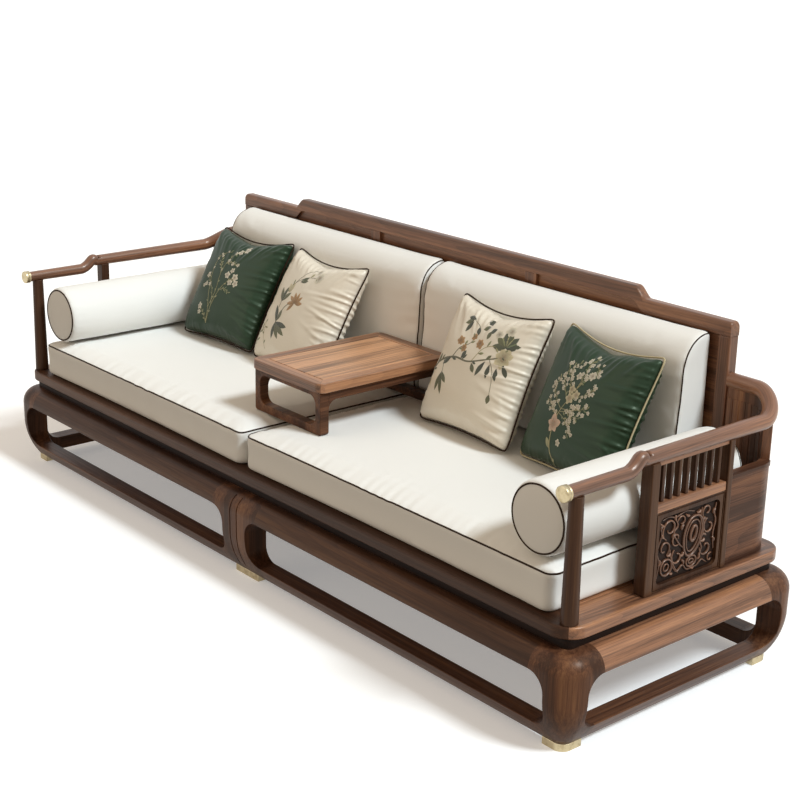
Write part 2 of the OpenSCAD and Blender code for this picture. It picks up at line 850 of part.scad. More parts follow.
// A rounded rectangle at height z, drawn in by d, whose long sides bow in by w
function pad_ring(x0, y0, x1, y1, r, d, w, z) =
    let (
        cr = max(r - d, 6),
        ax = (x1 - x0) / 2 - d - cr,
        ay = (y1 - y0) / 2 - d - cr,
        mx = (x0 + x1) / 2,
        my = (y0 + y1) / 2
    )
    [for (q = [0:3]) let (
            sx = q == 0 || q == 3 ? 1 : -1,
            sy = q < 2 ? 1 : -1,
            // The side after this corner, from one corner to the next
            dir = [[-1, 0], [0, -1], [1, 0], [0, 1]][q],
            run = 2 * (q % 2 == 0 ? ax : ay)
        )
        each concat(
            [for (i = [0:4]) let (a = 90 * q + 22.5 * i)
                [mx + sx * ax + cr * cos(a), my + sy * ay + cr * sin(a), z]],
            [for (i = [1:5]) let (
                    t = i / 6,
                    a = 90 * q + 90,
                    bow = w * 4 * t * (1 - t),
                    p = [mx + sx * ax + (cr - bow) * cos(a), my + sy * ay + (cr - bow) * sin(a)]
                )
                [p.x + dir.x * run * t, p.y + dir.y * run * t, z]]
        )];

// A seat cushion from its seam at x0 out to the arm
module seat_cushion(x0) {
    // Each ring: how far it is drawn in, and its height
    z0 = seat_top + clear;
    h = seat_cushion_h;
    sides = [
        [12, 0], [4, 5], [0, 14], [seat_draw * 0.6, h * 0.35], [seat_draw, h * 0.5],
        [seat_draw * 0.6, h * 0.68], [0, h - 10], [0, h - 3], [3, h]
    ];
    top = [for (i = [1:6]) let (d = 3 + (seat_crown_in - 3) * i / 6) [d, h + crown(d)]];
    color(cream) skin([for (s = reversed(concat(sides, top)))
        pad_ring(x0 + clear, seat_y0, seat_cushion_x, seat_y1, seat_cushion_r, s.x,
            seat_draw, z0 + s.y)]);
}

module seat_cushion_right() seat_cushion(-seat_seam);
module seat_cushion_left() mirror([1, 0, 0]) seat_cushion(seat_seam);

// Section of a back cushion in Y and Z, its front face forward by f
function back_section(f) =
    let (
        y1 = back_cushion_y,
        y0 = y1 - back_cushion_t,
        ys = y0 + back_taper,
        z0 = back_cushion_z,
        z1 = back_cushion_top,
        zs = z1 - back_round_h,
        r = 9,
        // The top runs from the front face over a quadratic curve to the rear
        p0 = [ys, zs],
        p1 = [ys + 9, z1 - 3],
        p2 = [y1 - r, z1]
    )
    concat(
        [[y0 + 12, z0], [y0 + 3 - f * 0.3, z0 + 4]],
        [for (i = [0:6]) let (t = i / 6)
            [y0 + (ys - y0) * t - f * (0.4 + 0.6 * sin(180 * min(t + 0.15, 1))), z0 + 14 + (zs - z0 - 14) * t]],
        [for (i = [1:8]) let (t = i / 8)
            (1 - t) * (1 - t) * p0 + 2 * t * (1 - t) * p1 + t * t * p2],
        [[y1 - 2, z1 - 3], [y1, z1 - r], [y1, z0 + r], [y1 - 3, z0]]
    );

// A section pulled in by d towards its middle, set at x
function back_ring(x, f, d) =
    let (
        c = [back_cushion_y - back_cushion_t / 2, back_cushion_z + back_cushion_h / 2]
    )
    [for (p = back_section(f)) let (v = c - p, q = p + v * (d / norm(v))) [x, q.x, q.y]];

module back_cushion() {
    x0 = clear;
    w = back_cushion_x - x0;
    // Distance in from each end, and how much the section is pulled in there
    ends = [[0, 9], [2, 4], [8, 0.6], [24, 0]];
    mids = [for (i = [1:7]) i / 8];
    color(cream) skin(concat(
        [for (e = ends) back_ring(x0 + e.x, 0, e.y)],
        [for (m = mids) back_ring(x0 + 24 + (w - 48) * m, back_crown * (1 - pow(2 * m - 1, 4)), 0)],
        [for (i = [3:-1:0]) back_ring(x0 + w - ends[i].x, 0, ends[i].y)]
    ));
}

module back_cushion_right() back_cushion();
module back_cushion_left() mirror([1, 0, 0]) back_cushion();

// A bolster lying along the arm: a turned form with soft rims and domed ends
module bolster() {
    r = bolster_r;
    k = bolster_rim;
    dome = 5;
    color(cream) translate([bolster_x, bolster_y0, bolster_z]) rotate([-90, 0, 0])
        rotate_extrude($fn = 64) polygon(concat(
            [[0, 0], [r * 0.5, dome * 0.3], [r - k - 6, dome]],
            arc(r - k, dome + k, k, -90, 0, 3),
            reversed(arc(r - k, bolster_len - dome - k, k, 90, 0, 3)),
            [[r - k - 6, bolster_len - dome], [r * 0.5, bolster_len - dome * 0.3], [0, bolster_len]]
        ));
}

module bolster_right() bolster();
module bolster_left() mirror([1, 0, 0]) bolster();

// Throw pillows: yaw, lean and spin in degrees, then the middle's place along X
bolster_edge = bolster_x - bolster_r;
green_x = bolster_edge - green_gap - pillow_size / 2;
cream_x = green_x - pillow_size - pair_gap;
green_left = [1, 29, 1, -green_x + pillow_slack * 1.5];
cream_left = [-4, 29, 1, -cream_x - pillow_slack / 2];
cream_right = [-4, 25, 1, cream_x - pillow_slack / 2];
green_right = [-9, 24, 0, green_x - pillow_slack];

// A point of a pillow: u and v run from -1 to 1, s is its side
function pillow_point(u, v, s) =
    let (
        half = pillow_size / 2,
        d = pillow_draw / half,
        hang = d + (pillow_sag / half - d) * (1 + v) / 2,
        full = pow((1 - pow(u, 2)) * (1 - pow(v, 2)), 0.5)
    )
    [
        half * u * (1 - d * (1 - v * v)),
        -s * (pillow_seam / 2 + (pillow_t - pillow_seam) / 2 * full),
        half * v * (1 - hang * (1 - u * u))
    ];

// Turns a pillow's point: spin in its own plane, then lean back, then yaw
function turned(p, pose) =
    let (
        a = [p.x * cos(pose[2]) - p.z * sin(pose[2]), p.y, p.x * sin(pose[2]) + p.z * cos(pose[2])],
        b = [a.x, a.y * cos(pose[1]) + a.z * sin(pose[1]), a.z * cos(pose[1]) - a.y * sin(pose[1])]
    )
    [b.x * cos(pose[0]) - b.y * sin(pose[0]), b.x * sin(pose[0]) + b.y * cos(pose[0]), b.z];

pillow_n = 12;
// Steps are closer together towards the edges
function grid(i) = sin(90 * (2 * i / pillow_n - 1));
function pillow_points(pose) = [
    for (s = [1, -1], i = [0:pillow_n], j = [0:pillow_n])
        turned(pillow_point(grid(i), grid(j), s), pose)
];

// The back cushion's front face at height z, with its full crown
function back_face(z) =
    let (
        ys = back_cushion_y - back_cushion_t + back_taper,
        zs = back_cushion_top - back_round_h,
        t = min(max((z - zs) / (back_cushion_top - zs), 0), 1)
    )
    z < zs
        ? ys - back_taper * (zs - z) / (zs - back_cushion_z) - back_crown
        : ys - back_crown + back_round_h * 0.55 * pow(t, 3);

module pillow(pose, colour) {
    n = pillow_n;
    pts = pillow_points(pose);
    // It sinks until it meets the seat, then tips back until it meets the cushion
    lift = crown_z + clear - min([for (p = pts) p.z]);
    back = min([for (p = pts) back_face(p.z + lift) - clear - p.y]);
    m = n + 1;
    o = m * m;
    rim = concat(
        [for (j = [0:n - 1]) [j, j + 1]],
        [for (i = [0:n - 1]) [i * m + n, (i + 1) * m + n]],
        [for (j = [n:-1:1]) [n * m + j, n * m + j - 1]],
        [for (i = [n:-1:1]) [i * m, (i - 1) * m]]
    );
    faces = concat(
        [for (i = [0:n - 1], j = [0:n - 1]) let (a = i * m + j)
            each [[a, a + 1, a + m], [a + 1, a + m + 1, a + m]]],
        [for (i = [0:n - 1], j = [0:n - 1]) let (a = o + i * m + j)
            each [[a, a + m, a + 1], [a + 1, a + m, a + m + 1]]],
        [for (e = rim) each [[e.x, e.x + o, e.y], [e.y, e.x + o, e.y + o]]]
    );
    color(colour) translate([pose[3], back, lift]) polyhedron(pts, faces);
}

module pillow_green_left() pillow(green_left, green);
module pillow_cream_left() pillow(cream_left, cream);
module pillow_cream_right() pillow(cream_right, cream);
module pillow_green_right() pillow(green_right, green);

// Tea table

module table_frame() {
    x = table_w / 2;
    b = table_border;
    panel_z = table_z1 - table_panel_t;
    color(wood) difference() {
        translate([0, 0, table_leg_top]) linear_extrude(table_top_t)
            round_rect(-x, table_y0, x, table_y1, table_r);
        slab([-x + b, table_y0 + b, panel_z], [x - b, table_y1 - b, table_z1 + 1]);
        slab(
            [-x + b + table_lip, table_y0 + b + table_lip, table_leg_top - 1],
            [x - b - table_lip, table_y1 - b - table_lip, table_z1]
        );
    }
}

module table_panel() {
    e = table_border + table_groove;
    color(wood) slab(
        [-table_w / 2 + e, table_y0 + e, table_z1 - table_panel_t],
        [table_w / 2 - e, table_y1 - e, table_z1 - 0.5]
    );
}

// The front and rear leg frames, each a round-cornered loop
module table_legs() {
    x = loop_w / 2;
    color(wood) for (y = [table_y0 + leg_inset, table_y1 - leg_inset - loop_d])
        along_y(y, y + loop_d) difference() {
            round_rect(-x, table_z0, x, table_leg_top, 8);
            round_rect(-x + loop_t, table_z0 + loop_t, x - loop_t, table_leg_top - loop_t * 0.6,
                loop_r);
        }
}

// A rail under each side of the top, curving down into the legs at both ends
module table_rails() {
    y0 = table_y0 + leg_inset + loop_d;
    y1 = table_y1 - leg_inset - loop_d;
    r = loop_r;
    color(wood) for (s = [0, 1]) mirror([s, 0, 0])
        along_x(loop_w / 2 - loop_t, loop_w / 2) difference() {
            translate([y0, table_leg_top - side_rail_h - r])
                square([y1 - y0, side_rail_h + r]);
            translate([y0 + r, table_leg_top - side_rail_h - r - 1])
                square([y1 - y0 - 2 * r, r + 1]);
            for (y = [y0 + r, y1 - r]) translate([y, table_leg_top - side_rail_h - r]) circle(r);
        }
}

brass_feet();
leg_front_left();
leg_front_right();
leg_rear_left();
leg_rear_right();
leg_front_middle();
leg_rear_middle();
apron_front_left();
apron_front_right();
aprons_rear();
apron_left();
apron_right();
stretchers_front();
stretchers_rear();
stretcher_left();
stretcher_right();
waist_strips();
seat_rail_front();
seat_rail_rear();
seat_rail_left();
seat_rail_right();
seat_slats();
seat_supports();
arm_rail_left();
arm_rail_right();
brass_caps();
front_post_left();
front_post_right();
panel_posts_left();
panel_posts_right();
mid_rails();
carved_frame_left();
carved_frame_right();
carved_panel_left();
carved_panel_right();
spindles_right();
rear_boards_left();
rear_boards_right();
corner_panel_left();
corner_panel_right();
back_crest();
back_posts();
back_bottom_rail();
back_stiles();
back_panels();
seat_cushion_left();
seat_cushion_right();
back_cushion_left();
back_cushion_right();
bolster_left();
bolster_right();
pillow_green_left();
pillow_cream_left();
pillow_cream_right();
pillow_green_right();
table_frame();
table_panel();
table_legs();
table_rails();
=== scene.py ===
"""A Chinese wooden sofa in walnut, brass, cream cloth and green satin, laid over its solid parts.

Metres. X runs along the sofa, Y from front to back and Z up.
"""

import math

import bmesh
import bpy
import numpy as np
from bpy.props import FloatProperty, FloatVectorProperty, IntProperty, PointerProperty
from mathutils import Matrix, Vector
from mathutils.bvhtree import BVHTree


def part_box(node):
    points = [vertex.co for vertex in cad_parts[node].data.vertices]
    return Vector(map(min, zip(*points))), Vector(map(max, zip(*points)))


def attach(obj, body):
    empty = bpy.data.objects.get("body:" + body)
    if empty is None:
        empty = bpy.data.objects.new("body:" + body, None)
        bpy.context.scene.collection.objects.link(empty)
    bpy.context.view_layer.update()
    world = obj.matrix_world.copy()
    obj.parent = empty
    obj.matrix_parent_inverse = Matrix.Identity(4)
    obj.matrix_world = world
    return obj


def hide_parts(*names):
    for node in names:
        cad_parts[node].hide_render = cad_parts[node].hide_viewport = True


bl_info = {
    "name": "Chinese wooden sofa",
    "version": (1, 0, 0),
    "blender": (4, 5, 0),
    "location": "View3D > Sidebar > Sofa",
    "description": "Dresses the sofa's solid parts with wood, brass, cloth and needlework",
    "category": "Object",
}

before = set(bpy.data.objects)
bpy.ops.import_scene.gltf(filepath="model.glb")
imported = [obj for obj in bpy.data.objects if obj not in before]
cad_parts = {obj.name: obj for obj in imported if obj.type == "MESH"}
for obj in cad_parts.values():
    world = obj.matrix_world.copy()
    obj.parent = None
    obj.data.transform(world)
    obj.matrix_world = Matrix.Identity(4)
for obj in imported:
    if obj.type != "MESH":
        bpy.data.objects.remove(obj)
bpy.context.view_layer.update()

MM = 0.001


def linear(code):
    """A colour written as six hexadecimal digits, in the linear values that Blender uses."""
    parts = [int(code[i : i + 2], 16) / 255 for i in (0, 2, 4)]
    return tuple(c / 12.92 if c <= 0.04045 else ((c + 0.055) / 1.055) ** 2.4 for c in parts)


SIDES = (("right", 1), ("left", -1))
SHARP = math.radians(38)
# Room between a cushion and what it lies on
CLEAR = 0.3 * MM

# Places that the pieces share, read from the solid parts
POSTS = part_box("panel_posts_right")
ARM_X = (POSTS[0].x + POSTS[1].x) / 2
SEAT_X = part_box("seat_rail_right")[1].x
SEAT_Y = -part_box("seat_rail_front")[0].y
SEAT_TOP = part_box("seat_rail_front")[1].z
RAIL_FLAT = 12.8 * MM
RAIL_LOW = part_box("front_post_right")[1].z + RAIL_FLAT
RAIL_HIGH = POSTS[1].z + RAIL_FLAT
RAIL_THICK, RAIL_THIN = 19.5 * MM, 16 * MM
RAIL_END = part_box("arm_rail_right")[1].z - RAIL_THICK
RAIL_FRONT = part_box("arm_rail_right")[0].y
STEP_AT, STEP_LENGTH, STEP_EAR = -198 * MM, 58 * MM, 7 * MM
CORNER_R = 84 * MM
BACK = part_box("back_posts")
BACK_Y = (BACK[0].y + BACK[1].y) / 2
CORNER_X, CORNER_Y = ARM_X - CORNER_R, BACK_Y - CORNER_R
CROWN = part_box("seat_cushion_right")[1].z
SEAT_EDGE = CROWN - 13 * MM


def colour_setting(name, description, code):
    return FloatVectorProperty(name=name, description=description, subtype="COLOR",
                               default=linear(code), min=0, max=1)


def length_setting(name, description, default, low, high):
    """A length with its limits, given in millimetres."""
    return FloatProperty(name=name, description=description, unit="LENGTH",
                         default=default * MM, min=low * MM, max=high * MM)


def number_setting(name, description, default, low, high):
    return FloatProperty(name=name, description=description, default=default, min=low, max=high)


def angle_setting(name, description, degrees):
    return FloatProperty(name=name, description=description, subtype="ANGLE",
                         default=math.radians(degrees))


class WoodSettings(bpy.types.PropertyGroup):
    """Colours and edges of the woodwork"""

    light: colour_setting("Light grain", "Palest streaks of the walnut", "b27d56")
    middle: colour_setting("Middle grain", "Main colour of the walnut", "7a5039")
    dark: colour_setting("Dark grain", "Darkest streaks of the walnut", "40261a")
    edge: length_setting("Edge", "Rounding of the sawn edges", 2, 0.5, 4)
    ledge_edge: length_setting("Ledge edge", "Rounding of the seat frame's edges", 5, 2, 9)
    crest_edge: length_setting("Crest edge", "Rounding of the crest rail", 9, 2, 14)
    ribbon: length_setting("Carved ribbon", "Half width of the carved scrolls", 2.1, 1.5, 4)
    plank: length_setting("Plank", "Width of the planks inside the rear corners", 20, 12, 30)


class ClothSettings(bpy.types.PropertyGroup):
    """Colours and sewing of the cushions"""

    cream: colour_setting("Cream", "Cloth of the cushions and bolsters", "ebeae6")
    satin: colour_setting("Pale satin", "Satin of the pale pillows", "e2d9c8")
    green: colour_setting("Green satin", "Satin of the green pillows", "1b2e1e")
    piping: colour_setting("Piping", "Dark cord along the seams", "2a190e")
    piping_radius: length_setting("Piping radius", "Half thickness of the piping", 2.3, 1, 4)
    net: length_setting("Net", "Mesh width of the cushions' skin", 10, 5, 20)
    swell: length_setting("Swell", "Furthest that the filling pushes the skin out", 5, 1, 16)
    pucker: length_setting("Pucker", "Depth of the folds along the pillows' seams", 4.2, 0, 8)


class StageSettings(bpy.types.PropertyGroup):
    """Camera and light"""

    lens: number_setting("Lens", "Focal length of the camera", 70.37, 20, 200)
    azimuth: angle_setting("Azimuth", "Turn of the camera round the sofa", 49.194)
    elevation: angle_setting("Elevation", "Height of the camera above the horizon", 17.999)
    roll: angle_setting("Roll", "Tilt of the camera", 1.278)
    place: FloatVectorProperty(
        name="Place", description="Place of the camera", subtype="TRANSLATION",
        default=(3.3330, -2.7005, 1.8441),
    )
    key: number_setting("Main lamp", "Strength of the main lamp", 3.06, 0, 20)
    sky: number_setting("Sky", "Strength of the light from all round", 0.48, 0, 2)


class SofaSettings(bpy.types.PropertyGroup):
    """All settings of the sofa"""

    wood: PointerProperty(type=WoodSettings)
    cloth: PointerProperty(type=ClothSettings)
    stage: PointerProperty(type=StageSettings)


def settings():
    return bpy.context.scene.sofa


# Node trees


class Graph:
    """A node tree that is made one node at a time."""

    def __init__(self, tree):
        self.tree = tree
        tree.nodes.clear()

    def node(self, kind, options=None, sockets=None, **named):
        """A node of that kind: its options are set first, then sockets by number or by name."""
        made = self.tree.nodes.new(kind)
        for name, value in (options or {}).items():
            if name == "stops":
                ramp = made.color_ramp
                while len(ramp.elements) < len(value):
                    ramp.elements.new(1)
                for element, (place, colour) in zip(ramp.elements, value):
                    element.position = place
                    element.color = (*colour, 1)
            else:
                setattr(made, name, value)
        named = {name.replace("_", " "): value for name, value in named.items()}
        for name, value in {**(sockets or {}), **named}.items():
            value = value.socket if isinstance(value, Number) else value
            if isinstance(value, bpy.types.NodeSocket):
                self.tree.links.new(value, made.inputs[name])
            else:
                made.inputs[name].default_value = value
        return made

    def first(self, *terms, **named):
        """The first output of a new node."""
        return self.node(*terms, **named).outputs[0]

    def number(self, *terms, output=0, **named):
        return Number(self, self.node(*terms, **named).outputs[output])

    def held(self, name):
        """The number of that name that the points carry."""
        return self.number("GeometryNodeInputNamedAttribute", {"data_type": "FLOAT"}, Name=name)

    def vector(self, x=0.0, y=0.0, z=0.0):
        return self.first("ShaderNodeCombineXYZ", X=x, Y=y, Z=z)


class Number:
    """A number in a node tree. Sums on it add Math nodes."""

    def __init__(self, graph, socket):
        self.graph = graph
        self.socket = socket

    def math(self, operation, *others, first=None):
        terms = [self, *others] if first is None else [first, self]
        return self.graph.number("ShaderNodeMath", {"operation": operation},
                                 dict(enumerate(terms)))

    def __add__(self, other):
        return self.math("ADD", other)

    def __sub__(self, other):
        return self.math("SUBTRACT", other)

    def __mul__(self, other):
        return self.math("MULTIPLY", other)

    def __rsub__(self, other):
        return self.math("SUBTRACT", first=other)

    __radd__ = __add__

    def step(self, low, high):
        """0 below low, 1 above high, and smooth between them."""
        return self.graph.number("ShaderNodeMapRange", {"interpolation_type": "SMOOTHSTEP"},
                                 Value=self, From_Min=low, From_Max=high)


class Finish(Graph):
    """A material built on one Principled shader."""

    def __init__(self, name, **constants):
        self.material = bpy.data.materials.new(name)
        self.material.use_nodes = True
        super().__init__(self.material.node_tree)
        self.shader = self.node("ShaderNodeBsdfPrincipled", sockets={
            key.replace("_", " ").title().replace("Ior", "IOR"): value
            for key, value in constants.items()
        })
        self.node("ShaderNodeOutputMaterial", Surface=self.shader.outputs[0])

    def carried(self, name, output=2):
        """What the points carry: 0 gives it as a colour, 1 as a vector and 2 as a number."""
        return self.number("ShaderNodeAttribute", {"attribute_name": name}, output=output)

    def apart(self, vector):
        parts = self.node("ShaderNodeSeparateXYZ", Vector=vector)
        return [Number(self, parts.outputs[i]) for i in range(3)]

    def place(self):
        """The point on the piece, as three numbers."""
        return self.apart(self.node("ShaderNodeTexCoord").outputs["Object"])

    def noise(self, x, y, z, detail=2.0, roughness=0.5):
        return self.number("ShaderNodeTexNoise", Vector=self.vector(x, y, z), Scale=1.0,
                           Detail=detail, Roughness=roughness)

    def cloud(self, place, scale, detail=2.0, roughness=0.5):
        """Noise of one scale in all directions."""
        return self.noise(*(number * scale for number in place), detail, roughness)

    def mix(self, factor, first, second):
        """Two colours mixed; each is a colour or a socket."""
        first, second = ((*c, 1) if isinstance(c, (tuple, list)) and len(c) == 3 else c
                         for c in (first, second))
        return self.node("ShaderNodeMix", {"data_type": "RGBA", "blend_type": "MIX"},
                         {0: factor, 6: first, 7: second}).outputs[2]

    def ramp(self, factor, stops):
        return self.first("ShaderNodeValToRGB", {"stops": stops}, {0: factor})

    def worked(self, colour, roughness, height, depth, strength):
        """Links the colour, the roughness and the relief, which ends the material."""
        bump = self.first("ShaderNodeBump", Height=height, Distance=depth, Strength=strength)
        for socket, name in ((colour, "Base Color"), (roughness, "Roughness"), (bump, "Normal")):
            socket = socket.socket if isinstance(socket, Number) else socket
            self.tree.links.new(socket, self.shader.inputs[name])
        return self.material


# Finishes


def blended(colour, other, share):
    return tuple(a + (b - a) * share for a, b in zip(colour, other))


def darker(colour, share):
    return blended(colour, (0, 0, 0), share)


def walnut(name, axis="x", shade=0.0, figure=1.0, swept=False, split=None, mitred=None):
    """Oiled walnut whose grain runs along an axis, or along a swept piece.

    shade darkens it above 0 and makes it paler below, which some parts use for painted shade on
    faces turned from the light and for painted light on lit sides and tops; figure is the
    strength of its bands, and split is the height of a joint between two boards, of which the
    upper one is darker.
    mitred is a node that is a frame in plan: its grain then turns at the mitres.
    """
    wood = settings().wood
    dull = shade > 0.35
    coat = 0.1 if dull else 0.7 if swept else 0.4
    paint = Finish(name, coat_weight=coat, coat_roughness=0.3,
                   specular_ior_level=0.2 if dull else 0.45, specular_tint=(1, 0.7, 0.48, 1))
    x, y, z = paint.place()
    if swept:
        along = paint.carried("along")
        u, v, _ = paint.apart(paint.carried("across", 1))
    else:
        along, u, v = {"x": (x, y, z), "y": (y, x, z), "z": (z, x, y)}[axis]
    mitre = None
    if mitred:
        low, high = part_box(mitred)
        mitre = ((y - (low.y + high.y) / 2).math("ABSOLUTE") - (high.y - low.y) / 2
                 - (x - (low.x + high.x) / 2).math("ABSOLUTE") + (high.x - low.x) / 2)
        turned = mitre.step(-0.1 * MM, 0.1 * MM)
        along, u = y + (x - y) * turned, x + (y - x) * turned
    bands = paint.noise(along * 0.5 + 3.0, u * 17.0, v * 17.0)
    contour = paint.noise(along * 0.4, u * 6.0, v * 6.0, 1.0) * 34.0
    rings = contour.math("FRACT")
    rings = rings * rings
    streaks = paint.noise(along * 2.0, u * 150.0, v * 150.0, 3.0, 0.65)
    fibres = paint.noise(along * 12.0, u * 560.0, v * 560.0, 2.0, 0.6)
    tone = (bands - 0.5) * (1.3 * figure) - (rings - 0.3) * (0.1 * figure)
    tone = tone + (streaks - 0.5) * 0.7 + (fibres - 0.5) * 0.35 + 0.5
    if split is not None:
        tone = tone - z.step(split - 1 * MM, split + 1 * MM) * 0.14
    # Above 0 the colours blend towards near-black and below 0 towards pale tan; for several parts
    # this is painted shade and painted light
    other, least = (linear("170e09"), 0.6) if shade > 0 else (linear("e0aa7e"), 0.15)
    light, middle, dark = (
        blended(tuple(c), other, abs(shade) * share)
        for c, share in ((wood.light, 0.9), (wood.middle, 0.9), (wood.dark, least))
    )
    colour = paint.ramp(tone, [
        (0.1, darker(dark, 0.2)), (0.32, dark), (0.56, middle), (0.92, light),
    ])
    pores = paint.noise(along * 20.0, u * 850.0, v * 850.0, 1.0).step(0.6, 0.72)
    colour = paint.mix(pores * 0.4, colour, darker(dark, 0.4))
    if split is not None:
        gap = (z - split).math("ABSOLUTE").step(0.5 * MM, 1.4 * MM)
        colour = paint.mix(1 - gap, colour, darker(dark, 0.5))
    if mitre:
        gap = mitre.math("ABSOLUTE").step(0.3 * MM, 1 * MM)
        colour = paint.mix((1 - gap) * 0.7, colour, darker(dark, 0.4))
    return paint.worked(colour, 0.45 - (fibres - 0.5) * 0.25 - (tone - 0.5) * 0.08,
                        fibres * 0.6 + streaks * 0.4 - pores * 0.5, 0.2 * MM, 0.45)


def ebonised(name):
    """Nearly black wood as painted shade in the waist's recess and behind the carving."""
    paint = Finish(name, specular_ior_level=0.1)
    x, y, z = paint.place()
    grain = paint.noise(x * 9.0, y * 9.0, z * 160.0, 3.0, 0.6)
    colour = paint.ramp(grain, [
        (0.3, linear("120b08")), (0.6, linear("24160f")), (0.8, linear("35221a")),
    ])
    return paint.worked(colour, 0.6 - grain * 0.2, grain, 0.2 * MM, 0.4)


def brushed_brass(name):
    paint = Finish(name, metallic=1.0)
    x, y, z = paint.place()
    lines = paint.noise(x * 60.0, y * 60.0, z * 1400.0)
    stain = paint.noise(x * 55.0 + 3.0, y * 55.0, z * 55.0, 3.0, 0.6)
    colour = paint.mix(stain.step(0.45, 0.7) * 0.55, linear("c6b795"), linear("8a7551"))
    return paint.worked(colour, 0.24 + stain * 0.16 + lines * 0.08, lines, 0.05 * MM, 0.4)


def weave(name, colour, thread=0.9 * MM, sheen=0.15, rough=0.72, mottle=0.06):
    """Closely woven cloth: two sets of threads, with slight unevenness in its colour."""
    paint = Finish(name, sheen_weight=sheen, sheen_roughness=0.4, specular_ior_level=0.3)
    x, y, z = paint.place()
    turn = 2 * math.pi / thread
    wander = paint.cloud((x, y, z), 30.0) * 3.0
    warp = ((x + y * 0.6) * turn + wander).math("SINE")
    weft = ((z + y * 0.8) * turn + wander).math("SINE")
    slub = paint.cloud((x, y, z), 260.0)
    cloud = paint.cloud((x, y, z), 7.0, 3.0)
    shade = (cloud - 0.5) * mottle * 2 + (slub - 0.5) * mottle
    colour = paint.mix((shade + 0.5).math("MINIMUM", 1.0), darker(colour, 0.1),
                       blended(colour, (1, 1, 1), 0.08))
    return paint.worked(colour, rough + (slub - 0.5) * 0.12,
                        warp * weft * 0.5 + slub * 0.9, 0.12 * MM, 0.35)


def satin(name, colour, gleam):
    """Satin: a smooth face with fine slanting floats and a bright gleam."""
    paint = Finish(name, sheen_weight=0.04, sheen_roughness=0.3, sheen_tint=(*gleam, 1),
                   specular_ior_level=0.5, specular_tint=(*gleam, 1))
    x, y, z = paint.place()
    floats = paint.noise(x * 2400.0 + z * 900.0, y * 300.0, z * 260.0, 1.0)
    slub = paint.noise(x * 40.0, y * 40.0, z * 500.0)
    cloud = paint.cloud((x, y, z), 9.0)
    # Random patches lean slightly towards the gleam colour: a faint painted sheen
    colour = paint.mix((cloud - 0.5) * 0.6 + slub * 0.5 + 0.1, darker(colour, 0.14),
                       blended(colour, gleam, 0.02))
    return paint.worked(colour, 0.41 + (slub - 0.5) * 0.12,
                        floats * 0.5 + slub * 0.6, 0.08 * MM, 0.35)


def cord_cloth(name, colour):
    """Bias-cut cloth drawn tight over a cord, with a twill that winds round it."""
    paint = Finish(name, specular_ior_level=0.12)
    along = paint.carried("along")
    x, y, z = paint.place()
    twill = (along * (2 * math.pi / (1.6 * MM)) + (x + y + z) * 900.0).math("SINE")
    worn = paint.cloud((x, y, z), 50.0)
    colour = paint.mix(worn * 0.5 + twill * 0.1, darker(colour, 0.2),
                       blended(colour, (0.6, 0.4, 0.25), 0.05))
    return paint.worked(colour, 0.62 + worn * 0.1, twill, 0.12 * MM, 0.4)


def silk_thread(name):
    """Needlework: each petal and leaf has its own colour and lies in fine stitches."""
    paint = Finish(name, sheen_weight=0.3, sheen_roughness=0.3)
    tint = paint.carried("tint", 0)
    rows = (paint.carried("stitch") * (2 * math.pi / (0.9 * MM))).math("SINE") * 0.5 + 0.5
    # The grooves between the stitch rows are darkened: painted shade
    colour = paint.mix((1 - rows) * 0.3, tint, (0.05, 0.035, 0.02))
    return paint.worked(colour, 0.5 - rows * 0.12, rows, 0.2 * MM, 0.6)


# The walnuts, each with the way of its grain and its look; where noted, a shade above 0 is
# painted shade and one below 0 is painted light
WALNUTS = {
    "walnut_x": {"axis": "x", "shade": 0.25},
    # Painted light: the side aprons, side seat rails and other parts along Y are made a little
    # paler, as lit faces
    "walnut_y": {"axis": "y", "shade": -0.1, "figure": 1.15},
    "walnut_z": {"axis": "z", "shade": 0.2},
    # Painted shade: the posts, carved frames and spindles are made much darker, as faces in shade
    "walnut_post": {"axis": "z", "shade": 0.88, "figure": 0.8},
    # Painted shade: the front aprons and the front seat rail are made much darker, as faces
    # turned from the light
    "walnut_front": {"axis": "x", "shade": 0.82, "figure": 1.1},
    # Painted shade: the legs are made darker, as faces in shade
    "walnut_leg": {"axis": "z", "shade": 0.55, "figure": 0.9},
    # Painted shade: the floor rails, low under the base, are made darker
    "walnut_floor_rail": {"axis": "x", "shade": 0.6, "figure": 0.8},
    "walnut_floor_rail_side": {"axis": "y", "shade": 0.5, "figure": 0.8},
    "walnut_swept": {"swept": True, "shade": -0.02, "figure": 0.9},
    "walnut_carved": {"swept": True, "shade": 0.3, "figure": 0.6},
    "walnut_boards": {"axis": "y", "shade": 0.36, "split": SEAT_TOP + 109.5 * MM},
    # Painted light: the table's top panel is made much paler and its rim a little paler, for
    # light and sheen on the top
    "walnut_table": {"axis": "y", "shade": -0.65, "figure": 0.7},
    "walnut_table_rim": {"axis": "y", "shade": -0.25, "figure": 0.7, "mitred": "table_frame"},
    # Painted shade: the table's legs and rails under its top are made darker
    "walnut_table_foot": {"axis": "y", "shade": 0.5},
}
OTHERS = {
    "ebonised": ebonised,
    "turned_brass": brushed_brass,
    "cream_cloth": lambda name: weave(name, tuple(settings().cloth.cream)),
    "pale_satin": lambda name: satin(name, tuple(settings().cloth.satin), (1, 0.97, 0.9)),
    "bottle_satin": lambda name: satin(name, tuple(settings().cloth.green), (0.5, 0.6, 0.44)),
    "dark_piping": lambda name: cord_cloth(name, tuple(settings().cloth.piping)),
    "gold_piping": lambda name: cord_cloth(name, linear("c9bd9a")),
    "silk_thread": silk_thread,
}
FINISHES = {}


